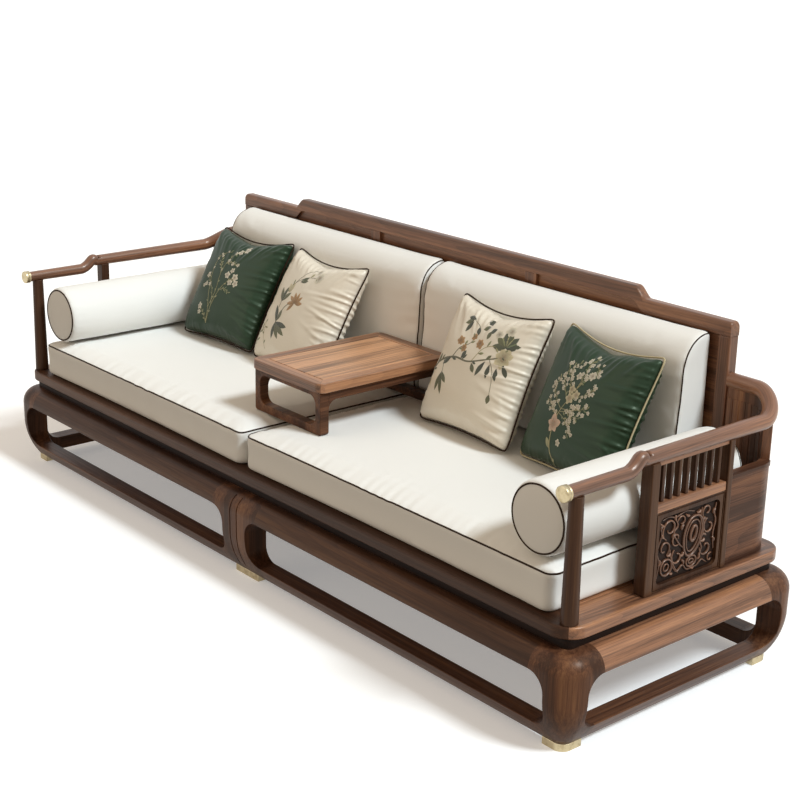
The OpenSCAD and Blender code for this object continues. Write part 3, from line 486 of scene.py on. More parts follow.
def finish(name):
    """The named material, made the first time that it is asked for."""
    if name not in FINISHES:
        wood = WALNUTS.get(name)
        FINISHES[name] = walnut(name, **wood) if wood else OTHERS[name](name)
    return FINISHES[name]


# Meshes


def placed(name, data):
    """A new object in the scene."""
    made = bpy.data.objects.new(name, data)
    bpy.context.scene.collection.objects.link(made)
    return made


def put(name, points, faces=(), edges=(), material=None, smooth=True):
    """A new object with its place in its mesh."""
    mesh = bpy.data.meshes.new(name)
    mesh.from_pydata([tuple(p) for p in points], [tuple(e) for e in edges],
                     [tuple(f) for f in faces])
    mesh.polygons.foreach_set("use_smooth", [smooth] * len(mesh.polygons))
    if material:
        mesh.materials.append(finish(material))
    return placed(name, mesh)


def bake(obj):
    """Turns what the modifiers make into the object's own mesh."""
    graph = bpy.context.evaluated_depsgraph_get()
    mesh = bpy.data.meshes.new_from_object(obj.evaluated_get(graph))
    obj.modifiers.clear()
    obj.data = mesh
    mesh.name = obj.name
    return obj


def modify(obj, kind, **values):
    made = obj.modifiers.new(kind.title(), kind)
    for name, value in values.items():
        setattr(made, name, value)
    return made


def done(obj, body, slot, *nodes):
    """Hands a finished piece over: what it moves with and what it stands for. slot is not used.
    """
    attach(obj, body)
    if nodes:
        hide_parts(*nodes)
    return obj


def points_of(mesh):
    values = np.empty(len(mesh.vertices) * 3)
    mesh.vertices.foreach_get("co", values)
    return values.reshape(-1, 3)


def normals_of(mesh):
    values = np.empty(len(mesh.vertices) * 3)
    mesh.vertex_normals.foreach_get("vector", values)
    return values.reshape(-1, 3)


def set_points(mesh, points):
    mesh.vertices.foreach_set("co", np.asarray(points, float).ravel())
    mesh.update()


def shape_of(*meshes):
    """A bmesh with the points and faces of meshes."""
    shape = bmesh.new()
    for mesh in meshes:
        shape.from_mesh(mesh)
    return shape


def shaped(name, shape, material=None):
    """A new object made of a bmesh, which is freed."""
    mesh = bpy.data.meshes.new(name)
    shape.to_mesh(mesh)
    shape.free()
    if material:
        mesh.materials.append(finish(material))
    return placed(name, mesh)


def bevelled(shape, name, edge, segments, turn, weigh, material=None, slide=False):
    """An object made of a bmesh, its edges rounded where they turn by more than so many degrees.

    weigh gives the share of the rounding that an edge gets, from its ends.
    """
    weights = shape.edges.layers.float.new("bevel_weight_edge")
    for side in shape.edges:
        if len(side.link_faces) == 2 and side.calc_face_angle() > math.radians(turn):
            side[weights] = weigh(*(v.co for v in side.verts)) if weigh else 1
    made = shaped(name, shape, material)
    modify(made, "BEVEL", width=edge, segments=segments, limit_method="WEIGHT",
           use_clamp_overlap=False, loop_slide=slide)
    return bake(made)


def softened(obj):
    """Smooth shading that stops at sharp edges, with normals that follow the large faces."""
    obj.data.polygons.foreach_set("use_smooth", [True] * len(obj.data.polygons))
    obj.data.set_sharp_from_angle(angle=SHARP)
    modify(obj, "WEIGHTED_NORMAL", keep_sharp=True)
    return bake(obj)


def eased(node, edge, material, body="sofa", slot="walnut", weigh=None, turn=32, segments=3):
    """A copy of a solid part with its sharp edges rounded, which stands for it."""
    shape = shape_of(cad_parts[node].data)
    bmesh.ops.remove_doubles(shape, verts=shape.verts, dist=0.02 * MM)
    bmesh.ops.dissolve_limit(shape, angle_limit=math.radians(0.5), verts=shape.verts,
                             edges=shape.edges, delimit={"NORMAL"})
    bmesh.ops.recalc_face_normals(shape, faces=shape.faces)
    made = bevelled(shape, "wood_" + node, edge, segments, turn, weigh, material, slide=True)
    return done(softened(made), body, slot, node)


# Geometry Nodes


def tree_of(name, sockets):
    """A Geometry Nodes tree with a geometry input, the named inputs and a material input."""
    tree = bpy.data.node_groups.new(name, "GeometryNodeTree")
    face = tree.interface
    face.new_socket("Geometry", in_out="INPUT", socket_type="NodeSocketGeometry")
    for label, kind, default in sockets:
        made = face.new_socket(label, in_out="INPUT", socket_type="NodeSocket" + kind)
        made.default_value = default
    face.new_socket("Material", in_out="INPUT", socket_type="NodeSocketMaterial")
    face.new_socket("Geometry", in_out="OUTPUT", socket_type="NodeSocketGeometry")
    graph = Graph(tree)
    return graph, graph.node("NodeGroupInput").outputs


def closed(graph, given, geometry):
    """Ends a tree: instances made real, and the material set."""
    real = graph.first("GeometryNodeRealizeInstances", Geometry=geometry)
    painted = graph.first("GeometryNodeSetMaterial", Geometry=real, Material=given["Material"])
    graph.node("NodeGroupOutput", Geometry=painted)
    return graph.tree


def rod_tree():
    """Sweeps a round or flattened section along a path, whose points may carry a girth."""
    graph, given = tree_of("Rod along a path", [
        ("Radius", "Float", 2 * MM), ("Flatness", "Float", 1.0), ("Sides", "Int", 10),
    ])
    store = "GeometryNodeStoreNamedAttribute"
    path = graph.first("GeometryNodeMeshToCurve", Mesh=given["Geometry"])
    length = graph.node("GeometryNodeSplineParameter").outputs["Length"]
    path = graph.first(store, {"data_type": "FLOAT"}, Geometry=path, Name="along", Value=length)
    ring = graph.first("GeometryNodeCurvePrimitiveCircle", Resolution=given["Sides"], Radius=1.0)
    ring = graph.first("GeometryNodeTransform", Geometry=ring,
                       Scale=graph.vector(given["Flatness"], 1.0, 1.0))
    offset = graph.first("ShaderNodeVectorMath", {"operation": "SCALE"},
                         {0: graph.first("GeometryNodeInputPosition")}, Scale=given["Radius"])
    ring = graph.first(store, {"data_type": "FLOAT_VECTOR"}, Geometry=ring, Name="across",
                       Value=offset)
    rod = graph.first("GeometryNodeCurveToMesh", Curve=path, Profile_Curve=ring, Fill_Caps=True,
                      Scale=graph.held("girth") * Number(graph, given["Radius"]))
    rod = graph.first("GeometryNodeSetShadeSmooth", Geometry=rod)
    return closed(graph, given, rod)


def row_tree():
    """Repeats a piece in a straight row."""
    graph, given = tree_of("Row", [("Count", "Int", 8), ("Pitch", "Float", 28 * MM)])
    line = graph.first("GeometryNodeMeshLine", Count=given["Count"],
                       Offset=graph.vector(y=given["Pitch"]))
    row = graph.first("GeometryNodeInstanceOnPoints", Points=line, Instance=given["Geometry"])
    return closed(graph, given, row)


def plank_tree():
    """Stands a plank at each point, turned by its turn and as tall as its height."""
    graph, given = tree_of("Planks", [
        ("Width", "Float", 20 * MM), ("Gap", "Float", 1.6 * MM), ("Thickness", "Float", 3 * MM),
    ])
    wide = Number(graph, given["Width"]) - Number(graph, given["Gap"])
    plank = graph.first("GeometryNodeMeshCube", Size=graph.vector(wide, given["Thickness"], 1.0))
    plank = graph.first("GeometryNodeTransform", Geometry=plank, Translation=(0, 0, 0.5))
    row = graph.first("GeometryNodeInstanceOnPoints", Points=given["Geometry"], Instance=plank,
                      Rotation=graph.vector(z=graph.held("turn")),
                      Scale=graph.vector(1.0, 1.0, graph.held("tall")))
    return closed(graph, given, row)


TREES = {}


def grow(obj, maker, material, **values):
    """Runs a Geometry Nodes tree on an object and keeps the mesh that it makes."""
    if maker not in TREES:
        TREES[maker] = maker()
    modifier = obj.modifiers.new("Made", "NODES")
    modifier.node_group = TREES[maker]
    names = {s.name: s.identifier for s in TREES[maker].interface.items_tree
             if s.in_out == "INPUT"}
    for label, value in {**values, "Material": finish(material)}.items():
        modifier[names[label]] = value
    bake(obj)
    obj.data.materials.clear()
    obj.data.materials.append(finish(material))
    obj.data.polygons.foreach_set("material_index", [0] * len(obj.data.polygons))
    return obj


def floats(obj, **columns):
    """Gives each point of an object its own values."""
    for name, values in columns.items():
        obj.data.attributes.new(name, "FLOAT", "POINT").data.foreach_set("value", values)
    return obj


def rod(name, paths, radius, material, girths=None, sides=10, flatness=1.0):
    """One piece made of rods along paths. Each path is a list of points and whether it closes."""
    points, edges, girth = [], [], []
    for i, (path, ring) in enumerate(paths):
        start = len(points)
        points += [tuple(p) for p in path]
        girth += list(girths[i]) if girths else [1.0] * len(path)
        edges += [(start + k, start + k + 1) for k in range(len(path) - 1)]
        if ring:
            edges.append((start + len(path) - 1, start))
    made = floats(put(name, points, edges=edges), girth=girth)
    return grow(made, rod_tree, material, Radius=radius, Sides=sides, Flatness=flatness)


# Curves


def smooth(t):
    return t * t * (3 - 2 * t)


def rail_line(sign):
    """The arm rail's middle line from its front end to the back, and its girth there."""
    line = [(ARM_X, y, RAIL_LOW) for y in np.linspace(RAIL_FRONT, STEP_AT, 14)[:-1]]
    for t in np.linspace(0, 1, 26):
        ear = STEP_EAR * math.sin(math.pi * t**3) ** 2
        line.append((ARM_X, STEP_AT + t * STEP_LENGTH,
                     RAIL_LOW + (RAIL_HIGH - RAIL_LOW) * smooth(t) + ear))
    line += [(ARM_X, y, RAIL_HIGH)
             for y in np.linspace(STEP_AT + STEP_LENGTH, CORNER_Y, 26)[1:-1]]
    for t in np.linspace(0, 1, 34):
        a = math.pi / 2 * t
        line.append((CORNER_X + CORNER_R * math.cos(a), CORNER_Y + CORNER_R * math.sin(a),
                     RAIL_HIGH + (RAIL_END - RAIL_HIGH) * smooth(t)))
    line += [(x, BACK_Y, RAIL_END) for x in np.linspace(CORNER_X, BACK[1].x, 7)[1:]]
    girth = [1 - (1 - RAIL_THIN / RAIL_THICK)
             * (1 - min((p[1] - RAIL_FRONT) / (CORNER_Y - RAIL_FRONT), 1)) for p in line]
    return [(sign * p[0], p[1], p[2]) for p in line], girth


def round_angles(count):
    return np.linspace(0, 2 * math.pi, count, endpoint=False)


def curve_through(points, steps=8):
    """A smooth line through points in a plane."""
    points = [np.array(p, float) for p in points]
    ends = [2 * points[0] - points[1], *points, 2 * points[-1] - points[-2]]
    line = []
    for a, b, c, d in zip(ends, ends[1:], ends[2:], ends[3:]):
        for t in np.arange(steps) / steps:
            line.append(0.5 * (2 * b + (c - a) * t + (2 * a - 5 * b + 4 * c - d) * t**2
                               + (3 * b - a - 3 * c + d) * t**3))
    return [*line, points[-1]]


def spiral(x, y, r0, r1, a0, a1, steps=26):
    """Part of a spiral round a middle point, its angles in degrees."""
    return [np.array([x + (r0 + (r1 - r0) * t) * math.cos(math.radians(a0 + (a1 - a0) * t)),
                      y + (r0 + (r1 - r0) * t) * math.sin(math.radians(a0 + (a1 - a0) * t))])
            for t in np.linspace(0, 1, steps)]


def oval(x, y, a, b, steps=48, narrow=0.0):
    """An oval, drawn in towards its foot."""
    return [np.array([x + a * (1 + narrow * math.sin(q)) * math.cos(q), y + b * math.sin(q)])
            for q in round_angles(steps)]


def arc(y, z, r, start):
    """A quarter of a circle from its start in degrees."""
    return [(y + r * math.cos(a), z + r * math.sin(a))
            for a in (math.radians(start + 15 * k) for k in range(7))]


def waves(values, seed, wavelength):
    """Uneven waves along a line, between about -1 and 1, the same for each seed."""
    chance = np.random.default_rng(seed)
    total = np.zeros_like(values, dtype=float)
    for _ in range(5):
        length = wavelength * chance.uniform(0.62, 1.6)
        total += np.sin(values * (2 * math.pi / length) + chance.uniform(0, 2 * math.pi))
    return total / 3.2


# Wood


# Where the base is cut into its nodes
SIDE_X, FRONT_Y, BRACE_X, LEVEL = 1152 * MM, 302 * MM, 102 * MM, 130 * MM
# Its inner corners, the top of its feet, and how far the middle legs reach
INNER_X, INNER_Y, FOOT_TOP, MIDDLE_X = 1.2, 0.35, 36 * MM, 120 * MM


def joined(name, nodes, at_joint, edge, weigh=None, segments=3):
    """Solid parts made into one skin without the faces between them, its edges rounded."""
    shape = shape_of(*(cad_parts[node].data for node in nodes))
    bmesh.ops.remove_doubles(shape, verts=shape.verts, dist=0.03 * MM)
    inner = [f for f in shape.faces if at_joint([v.co for v in f.verts])]
    bmesh.ops.delete(shape, geom=inner, context="FACES")
    if any(len(side.link_faces) != 2 for side in shape.edges):
        raise RuntimeError(f"{name}: the joined skin is not closed")
    bmesh.ops.recalc_face_normals(shape, faces=shape.faces)
    bmesh.ops.dissolve_limit(shape, angle_limit=math.radians(3), verts=shape.verts,
                             edges=shape.edges)
    made = bevelled(shape, name, edge, segments, 25, weigh)
    shape = shape_of(made.data)
    shape.normal_update()
    folds = [e for e in shape.edges if e.calc_face_angle() > math.radians(100)]
    shape.free()
    if folds:
        raise RuntimeError(f"{name}: {len(folds)} folds in the rounded skin")
    return made


def base_edge(a, b):
    """No rounding inside the corners and at the feet, and little along the middle grooves."""
    x, z = (abs(a.x) + abs(b.x)) / 2, (a.z + b.z) / 2
    inside = any(abs(abs(p.x) - INNER_X) < 0.1 * MM and abs(abs(p.y) - INNER_Y) < 0.1 * MM
                 for p in (a, b))
    if inside or z < FOOT_TOP:
        return 0
    return 0.2 if x < MIDDLE_X else 1


def share_of(skin, name, regions, material):
    """The part of a joined skin inside each region, closed where it is cut.

    A region is a list of planes, each a point and a direction that leads out of the region.
    """
    whole = bmesh.new()
    for planes in regions:
        part = shape_of(skin.data)
        for point, out in planes:
            bmesh.ops.bisect_plane(part, geom=[*part.verts, *part.edges, *part.faces],
                                   plane_co=point, plane_no=out, clear_outer=True,
                                   dist=0.005 * MM)
        open_edges = [e for e in part.edges if len(e.link_faces) == 1]
        bmesh.ops.holes_fill(part, edges=open_edges, sides=0)
        mesh = bpy.data.meshes.new(name)
        part.to_mesh(mesh)
        part.free()
        whole.from_mesh(mesh)
        bpy.data.meshes.remove(mesh)
    bmesh.ops.recalc_face_normals(whole, faces=whole.faces)
    return softened(shaped(name, whole, material))


def within(x=(None, None), y=(None, None), z=(None, None)):
    """The planes of a box. None leaves a side open."""
    planes = []
    for axis, (low, high) in enumerate((x, y, z)):
        for value, sign in ((low, -1), (high, 1)):
            if value is not None:
                point, out = [0, 0, 0], [0, 0, 0]
                point[axis], out[axis] = value, sign
                planes.append((point, out))
    return planes


def on_plane(corners, axis, value):
    """Whether a face's corners all lie on a plane, or on its mirror image."""
    return any(all(abs(p[axis] - side * value) < 0.02 * MM for p in corners)
               for side in (1, -1))


class SOFA_OT_base(bpy.types.Operator):
    """Makes the legs, aprons, floor rails, waist and brass feet"""

    bl_idname = "sofa.base"
    bl_label = "Base"

    def execute(self, context):
        edge = settings().wood.edge
        parts = self.parts()
        skin = joined("base_skin", parts, lambda face: on_plane(face, 0, SIDE_X)
                      or on_plane(face, 0, BRACE_X) or on_plane(face, 1, FRONT_Y), edge * 1.2,
                      base_edge)
        for node, (material, regions) in parts.items():
            done(share_of(skin, "wood_" + node, regions, material), "sofa", "walnut", node)
        bpy.data.objects.remove(skin)
        eased("waist_strips", 0.4 * MM, "ebonised", slot="dark_wood")
        eased("brass_feet", 1.5 * MM, "turned_brass", slot="brass")
        return {"FINISHED"}

    def parts(self):
        """For each node its wood and its regions."""
        front, rear, side = (None, -FRONT_Y), (FRONT_Y, None), (-FRONT_Y, FRONT_Y)
        right, left = (SIDE_X, None), (None, -SIDE_X)
        half, other = (BRACE_X, SIDE_X), (-SIDE_X, -BRACE_X)
        high, low = (LEVEL, None), (None, LEVEL)
        ends, flanks = (("front", front), ("rear", rear)), (("left", left), ("right", right))
        made = {f"leg_{end}_{place}": ("walnut_leg", [within(x, y)])
                for end, y in ends for place, x in flanks}
        for end, y in ends:
            made[f"leg_{end}_middle"] = "walnut_leg", [within((-BRACE_X, BRACE_X), y)]
        made["apron_front_left"] = "walnut_front", [within(other, front, high)]
        made["apron_front_right"] = "walnut_front", [within(half, front, high)]
        made["aprons_rear"] = "walnut_x", [within(x, rear, high) for x in (other, half)]
        for place, x in flanks:
            made["apron_" + place] = "walnut_y", [within(x, side, high)]
        for end, y in ends:
            made["stretchers_" + end] = "walnut_floor_rail", [within(x, y, low)
                                                              for x in (other, half)]
        for place, x in flanks:
            made["stretcher_" + place] = "walnut_floor_rail_side", [within(x, side, low)]
        return made


class SOFA_OT_seat_frame(bpy.types.Operator):
    """Makes the mitred seat frame with its slats and supports"""

    bl_idname = "sofa.seat_frame"
    bl_label = "Seat frame"

    def execute(self, context):
        wood = settings().wood
        hx, hy = SEAT_X, SEAT_Y

        def at_mitre(face):
            near = len({(p.x > 0, p.y > 0) for p in face}) == 1
            off = max(abs((hx - abs(p.x)) - (hy - abs(p.y))) for p in face)
            return near and off < 0.03 * MM

        rails = ["seat_rail_" + side for side in ("front", "rear", "left", "right")]
        skin = joined("seat_skin", rails, at_mitre, wood.ledge_edge, segments=4)
        woods = ("walnut_front", "walnut_x", "walnut_y", "walnut_y")
        for rail, material, (sx, sy) in zip(rails, woods, ((0, -1), (0, 1), (-1, 0), (1, 0))):
            planes = [((0, 0, 0), (-sx, -sy, 0))]
            for end in (1, -1):
                x, y = sx or end, sy or end
                planes.append(((x * hx, y * hy, 0), (-x if sx else x, -y if sy else y, 0)))
            done(share_of(skin, "wood_" + rail, [planes], material), "sofa", "walnut", rail)
        bpy.data.objects.remove(skin)
        eased("seat_slats", wood.edge, "walnut_y", slot="dark_wood")
        eased("seat_supports", wood.edge, "walnut_x", slot="dark_wood")
        return {"FINISHED"}


class SOFA_OT_arms(bpy.types.Operator):
    """Makes the arm rails, brass caps, posts and the carved panels' frames"""

    bl_idname = "sofa.arms"
    bl_label = "Arms"

    def execute(self, context):
        edge = settings().wood.edge
        for side, sign in SIDES:
            line, girth = rail_line(sign)
            rail = rod("wood_arm_rail_" + side, [(line, False)], RAIL_THICK, "walnut_swept",
                       [girth], sides=36)
            done(rail, "sofa", "walnut", "arm_rail_" + side)
            eased("front_post_" + side, edge, "walnut_post", turn=50)
            eased("panel_posts_" + side, edge * 1.4, "walnut_post")
            eased("carved_frame_" + side, edge * 0.3, "walnut_post", segments=2)
        eased("mid_rails", edge * 1.4, "walnut_y")
        self.caps()
        return {"FINISHED"}

    def caps(self):
        """Turned brass caps: a collar, a body and a low dome."""
        low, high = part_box("brass_caps")
        radius = (high.z - low.z) / 2
        middle, long = (high.z + low.z) / 2, high.y - low.y
        section = [(0.6, 0), (0.995, 0.02), (1, 0.14), (0.94, 0.2), (0.94, 0.26), (1, 0.32),
                   (1, 0.8), (0.97, 0.9), (0.86, 0.965), (0.6, 0.99), (0.3, 1), (0, 1)]
        points, faces = [], []
        for sign in (1, -1):
            rings = [[(sign * ARM_X + radius * share * math.cos(a), high.y - long * out,
                       middle + radius * share * math.sin(a))
                      for a in np.arange(40) * (2 * math.pi / 40)] for share, out in section]
            more, sides = lofted(rings)
            faces += [[len(points) + i for i in face] for face in sides]
            points += more
        made = clean(put("brass_arm_caps", points, faces, material="turned_brass"))
        done(made, "sofa", "brass", "brass_caps")


def clean(obj):
    """Closes seams and poles and points the faces outwards."""
    shape = shape_of(obj.data)
    bmesh.ops.remove_doubles(shape, verts=shape.verts, dist=0.01 * MM)
    bmesh.ops.dissolve_degenerate(shape, edges=shape.edges, dist=0.005 * MM)
    bmesh.ops.recalc_face_normals(shape, faces=shape.faces)
    shape.to_mesh(obj.data)
    shape.free()
    obj.data.update()
    return obj


# Size of the drawing of the scrolls in millimetres, how far the scrolls stand out from the
# panel's middle, and the rounding and half thickness of the board behind them
DRAWN_LONG, DRAWN_HIGH = 196, 150
SCROLLS_OUT, GROUND_CORNER, GROUND_HALF = 5.5 * MM, 16 * MM, 4 * MM


class SOFA_OT_carving(bpy.types.Operator):
    """Makes the carved panels: scrolls and tendrils round an oval, on a ground painted dark as
    shade
    """

    bl_idname = "sofa.carving"
    bl_label = "Carving"

    def execute(self, context):
        ribbon = settings().wood.ribbon
        for side, sign in SIDES:
            low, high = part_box("carved_panel_" + side)
            middle = ((low.y + high.y) / 2, (low.z + high.z) / 2)
            grow_y, grow_z = (high.y - low.y) / DRAWN_LONG, (high.z - low.z) / DRAWN_HIGH
            self.ground(side, sign, low, high)
            paths, girths = [], []
            for face in (1, -1):
                x = sign * (ARM_X + face * SCROLLS_OUT)
                for line, ring, thick in self.scrolls():
                    paths.append(([(x, middle[0] + p[0] * grow_y, middle[1] + p[1] * grow_z)
                                   for p in line], ring))
                    t = np.linspace(0, 1, len(line))
                    taper = np.ones(len(line)) if ring else 0.5 + 0.5 * np.sin(math.pi * t) ** 0.6
                    girths.append(thick * taper)
            made = rod("carved_scrolls_" + side, paths, ribbon, "walnut_carved", girths,
                       sides=8, flatness=1.5)
            done(made, "sofa", "walnut")
        return {"FINISHED"}

    def ground(self, side, sign, low, high):
        """The board that carries the scrolls, painted dark as shade."""
        r, x, half = GROUND_CORNER, sign * ARM_X, GROUND_HALF
        rim = []
        for y, z, a0 in ((high.y - r, high.z - r, 0), (low.y + r, high.z - r, 90),
                         (low.y + r, low.z + r, 180), (high.y - r, low.z + r, 270)):
            rim += arc(y, z, r, a0)
        n = len(rim)
        points = [(x + s * half, *p) for s in (-1, 1) for p in rim]
        faces = [tuple(range(n - 1, -1, -1)), tuple(range(n, 2 * n))]
        faces += [(k, (k + 1) % n, n + (k + 1) % n, n + k) for k in range(n)]
        made = clean(put("carved_ground_" + side, points, faces, material="ebonised",
                         smooth=False))
        done(made, "sofa", "dark_wood", "carved_panel_" + side)

    def scrolls(self):
        """Lines of the carving in millimetres: points, whether they close, and thickness."""
        lines = [
            (self.leaning(oval(0, 0, 30, 45, narrow=0.14), 20, 8), True, 1.5),
            (self.leaning(oval(0, 0, 21, 35, narrow=0.14), 20, 8), True, 0.9),
            (self.leaning(oval(0, 5, 9, 17, 32), 20, 8), True, 1.7),
        ]
        for y, z, a, b, steps, thick in ((20, -50, 16, 12, 32, 1.2), (20, -50, 8, 5, 24, 0.9),
                                         (-62, -44, 18, 18, 32, 1.3), (-62, -44, 8, 8, 24, 0.9)):
            lines.append((oval(y, z, a, b, steps), True, thick))
        # Middle, first and last radius, first and last angle, thickness
        for *turn, thick in (
            (-58, 42, 25, 7, 250, -160, 1.2), (-20, 50, 15, 5, 200, -120, 1.0),
            (-72, 0, 19, 6, -60, 290, 1.1), (-34, 14, 17, 5, 300, -20, 1.1),
            (-28, -28, 20, 6, 120, 450, 1.2), (66, -30, 20, 5, 170, 500, 1.2),
            (72, 18, 20, 6, 110, 450, 1.2), (62, 54, 16, 5, 240, -100, 1.1),
            (84, -58, 11, 4, 60, 330, 0.9),
        ):
            lines.append((spiral(*turn), False, thick))
        for thick, *places in (
            (1.0, (-92, -66), (-86, -30), (-95, 0), (-84, 34), (-92, 66)),
            (1.0, (-44, -44), (-26, -62), (-8, -52), (8, -66), (40, -66)),
            (1.0, (-48, 66), (-32, 44), (-44, 28), (-22, -2), (-6, -14)),
            (1.1, (46, 66), (42, 46), (50, 18), (44, -8), (52, -28), (44, -44)),
            (1.0, (93, 66), (88, 44), (94, 24), (88, -4), (94, -40)),
            (0.9, (-82, 66), (-64, 70), (-40, 64), (-10, 70), (20, 63)),
            (0.9, (-20, -66), (-36, -48), (-50, -20), (-52, -6)),
            (0.9, (40, -66), (56, -56), (66, -62), (74, -66)),
        ):
            lines.append((curve_through(places), False, thick))
        leaves = [(-48, 18, 40), (-76, 26, 130), (-20, 30, 60), (-50, -14, 200), (-84, -22, 250),
                  (-12, -40, 300), (48, 34, 20), (52, 2, -20), (84, 42, 60), (46, -40, 250),
                  (86, -12, -60), (-40, 56, 100), (-8, -22, 220), (40, 62, 200), (-78, 54, 150),
                  (4, 58, 160), (-40, -62, 160), (-88, 44, 60), (60, -8, 200), (30, -66, 170)]
        for y, z, angle in leaves:
            a = math.radians(angle)
            tip = np.array([math.cos(a), math.sin(a)])
            side = np.array([-tip[1], tip[0]])
            at = np.array([y, z])
            lines.append((curve_through([at, at + tip * 6 + side * 2.5, at + tip * 13]), False,
                          1.7))
        return lines

    def leaning(self, ring, y, z, lean=-14):
        """A ring turned about its middle and taken to its place."""
        c, s = math.cos(math.radians(lean)), math.sin(math.radians(lean))
        return [np.array([y + p[0] * c - p[1] * s, z + p[0] * s + p[1] * c]) for p in ring]


class SOFA_OT_spindles(bpy.types.Operator):
    """Makes the row of spindles in the right arm, with the strip over them"""

    bl_idname = "sofa.spindles"
    bl_label = "Spindles"

    count: IntProperty(name="Count", description="Number of spindles", default=8, min=5, max=9)

    def execute(self, context):
        low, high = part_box("spindles_right")
        thick, half, half_strip = 10 * MM, 7.5 * MM, 12 * MM
        pitch = (high.y - low.y + thick) / (self.count + 1)
        top = high.z - thick
        start = low.y + pitch - thick
        bar = block("spindles_right_row", (ARM_X - half, start, low.z),
                    (ARM_X + half, start + thick, top), 1.6 * MM)
        grow(bar, row_tree, "walnut_post", Count=self.count, Pitch=pitch)
        done(bar, "sofa", "walnut", "spindles_right")
        strip = block("spindles_right_strip", (ARM_X - half_strip, low.y, top),
                      (ARM_X + half_strip, high.y, high.z), 1.2 * MM, "walnut_y")
        done(strip, "sofa", "walnut")
        return {"FINISHED"}


def block(name, low, high, edge, material=None):
    """A bar with rounded edges between two corners."""
    (x0, y0, z0), (x1, y1, z1) = low, high
    points = [(x, y, z) for x in (x0, x1) for y in (y0, y1) for z in (z0, z1)]
    faces = [(0, 1, 3, 2), (4, 6, 7, 5), (0, 4, 5, 1), (2, 3, 7, 6), (0, 2, 6, 4), (1, 5, 7, 3)]
    made = put(name, points, faces, material=material, smooth=True)
    modify(made, "BEVEL", width=edge, segments=2)
    modify(made, "WEIGHTED_NORMAL")
    return bake(made)


class SOFA_OT_corners(bpy.types.Operator):
    """Makes the boards behind the panels and the planked panels round the rear corners"""

    bl_idname = "sofa.corners"
    bl_label = "Rear corners"

    def execute(self, context):
        wood = settings().wood
        inner, first = CORNER_R - 11 * MM, 30
        for side, sign in SIDES:
            eased("rear_boards_" + side, wood.edge * 0.6, "walnut_boards", segments=2)
            eased("corner_panel_" + side, wood.edge * 0.6, "walnut_z", turn=40, segments=2)
            bend = inner * math.radians(90 - first)
            whole = bend + CORNER_X - BACK[1].x - 2 * MM
            count = round(whole / wood.plank)
            width = whole / count
            points, turns, heights = [], [], []
            for k in range(count):
                s = (k + 0.5) * width
                if s < bend:
                    a = math.radians(first) + s / inner
                    x, y, turn = (CORNER_X + inner * math.cos(a), CORNER_Y + inner * math.sin(a),
                                  a + math.pi / 2)
                else:
                    a, x, y, turn = math.pi / 2, CORNER_X - (s - bend), CORNER_Y + inner, 0
                top = RAIL_HIGH + (RAIL_END - RAIL_HIGH) * smooth(min(a / (math.pi / 2), 1))
                points.append((sign * x, y, SEAT_TOP + 0.5 * MM))
                turns.append(sign * turn)
                heights.append(top - RAIL_FLAT - 30 * MM - SEAT_TOP)
            planks = floats(put("planks_" + side, points), turn=turns, tall=heights)
            grow(planks, plank_tree, "walnut_z", Width=width, Gap=1.8 * MM, Thickness=3 * MM)
            modify(planks, "BEVEL", width=0.7 * MM, segments=2)
            bake(planks)
            done(planks, "sofa", "walnut")
        return {"FINISHED"}


class SOFA_OT_back(bpy.types.Operator):
    """Makes the back frame: crest, posts, bottom rail, stiles and panels"""

    bl_idname = "sofa.back"
    bl_label = "Back"

    def execute(self, context):
        wood = settings().wood
        self.crest(wood.crest_edge)
        eased("back_posts", wood.edge * 1.6, "walnut_z")
        eased("back_bottom_rail", wood.edge, "walnut_x")
        eased("back_stiles", wood.edge, "walnut_z")
        eased("back_panels", wood.edge * 0.5, "walnut_x", slot="dark_wood")
        return {"FINISHED"}

    def crest(self, round_):
        """The stepped crest rail: a bar with rounded upper edges and ends."""
        low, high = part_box("back_crest")
        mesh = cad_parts["back_crest"].data
        corners = {(round(abs(v.co.x), 6), round(v.co.z, 6)) for v in mesh.vertices}
        upper = {}
        for x, z in corners:
            upper[x] = max(upper.get(x, 0), z)
        xs = sorted(upper)
        height = high.z - low.z - (upper[xs[0]] - upper[xs[-1]])
        ends = [high.x - round_ * (1 - math.cos(a)) for a in np.linspace(math.pi / 2, 0, 9)]
        stations = sorted({*(x for x in xs if 0 < x < ends[0]), *ends, 0.0,
                           *np.linspace(0, xs[-2] if len(xs) > 2 else high.x, 40)})
        rings = []
        for x in [*(-x for x in reversed(stations) if x > 0), *stations]:
            past = max(abs(x) - ends[0], 0)
            drop = round_ - math.sqrt(max(round_**2 - past**2, 0))
            top = float(np.interp(abs(x), xs, [upper[k] for k in xs]))
            rings.append(self.crest_section(x, low.y, high.y, top - height, top - drop,
                                            min(round_, height / 3)))
        points, faces = lofted(rings)
        made = clean(put("wood_back_crest", points, faces, material="walnut_x"))
        done(softened(made), "sofa", "walnut", "back_crest")

    def crest_section(self, x, y0, y1, z0, z1, r):
        """A section across the crest, rounded by r above and slightly below."""
        small = 1 * MM
        ring = []
        for y, z, size, a0 in ((y1 - r, z1 - r, r, 0), (y0 + r, z1 - r, r, 90),
                               (y0 + small, z0 + small, small, 180),
                               (y1 - small, z0 + small, small, 270)):
            ring += [(x, *p) for p in arc(y, z, size, a0)]
        return ring


# Soft pieces


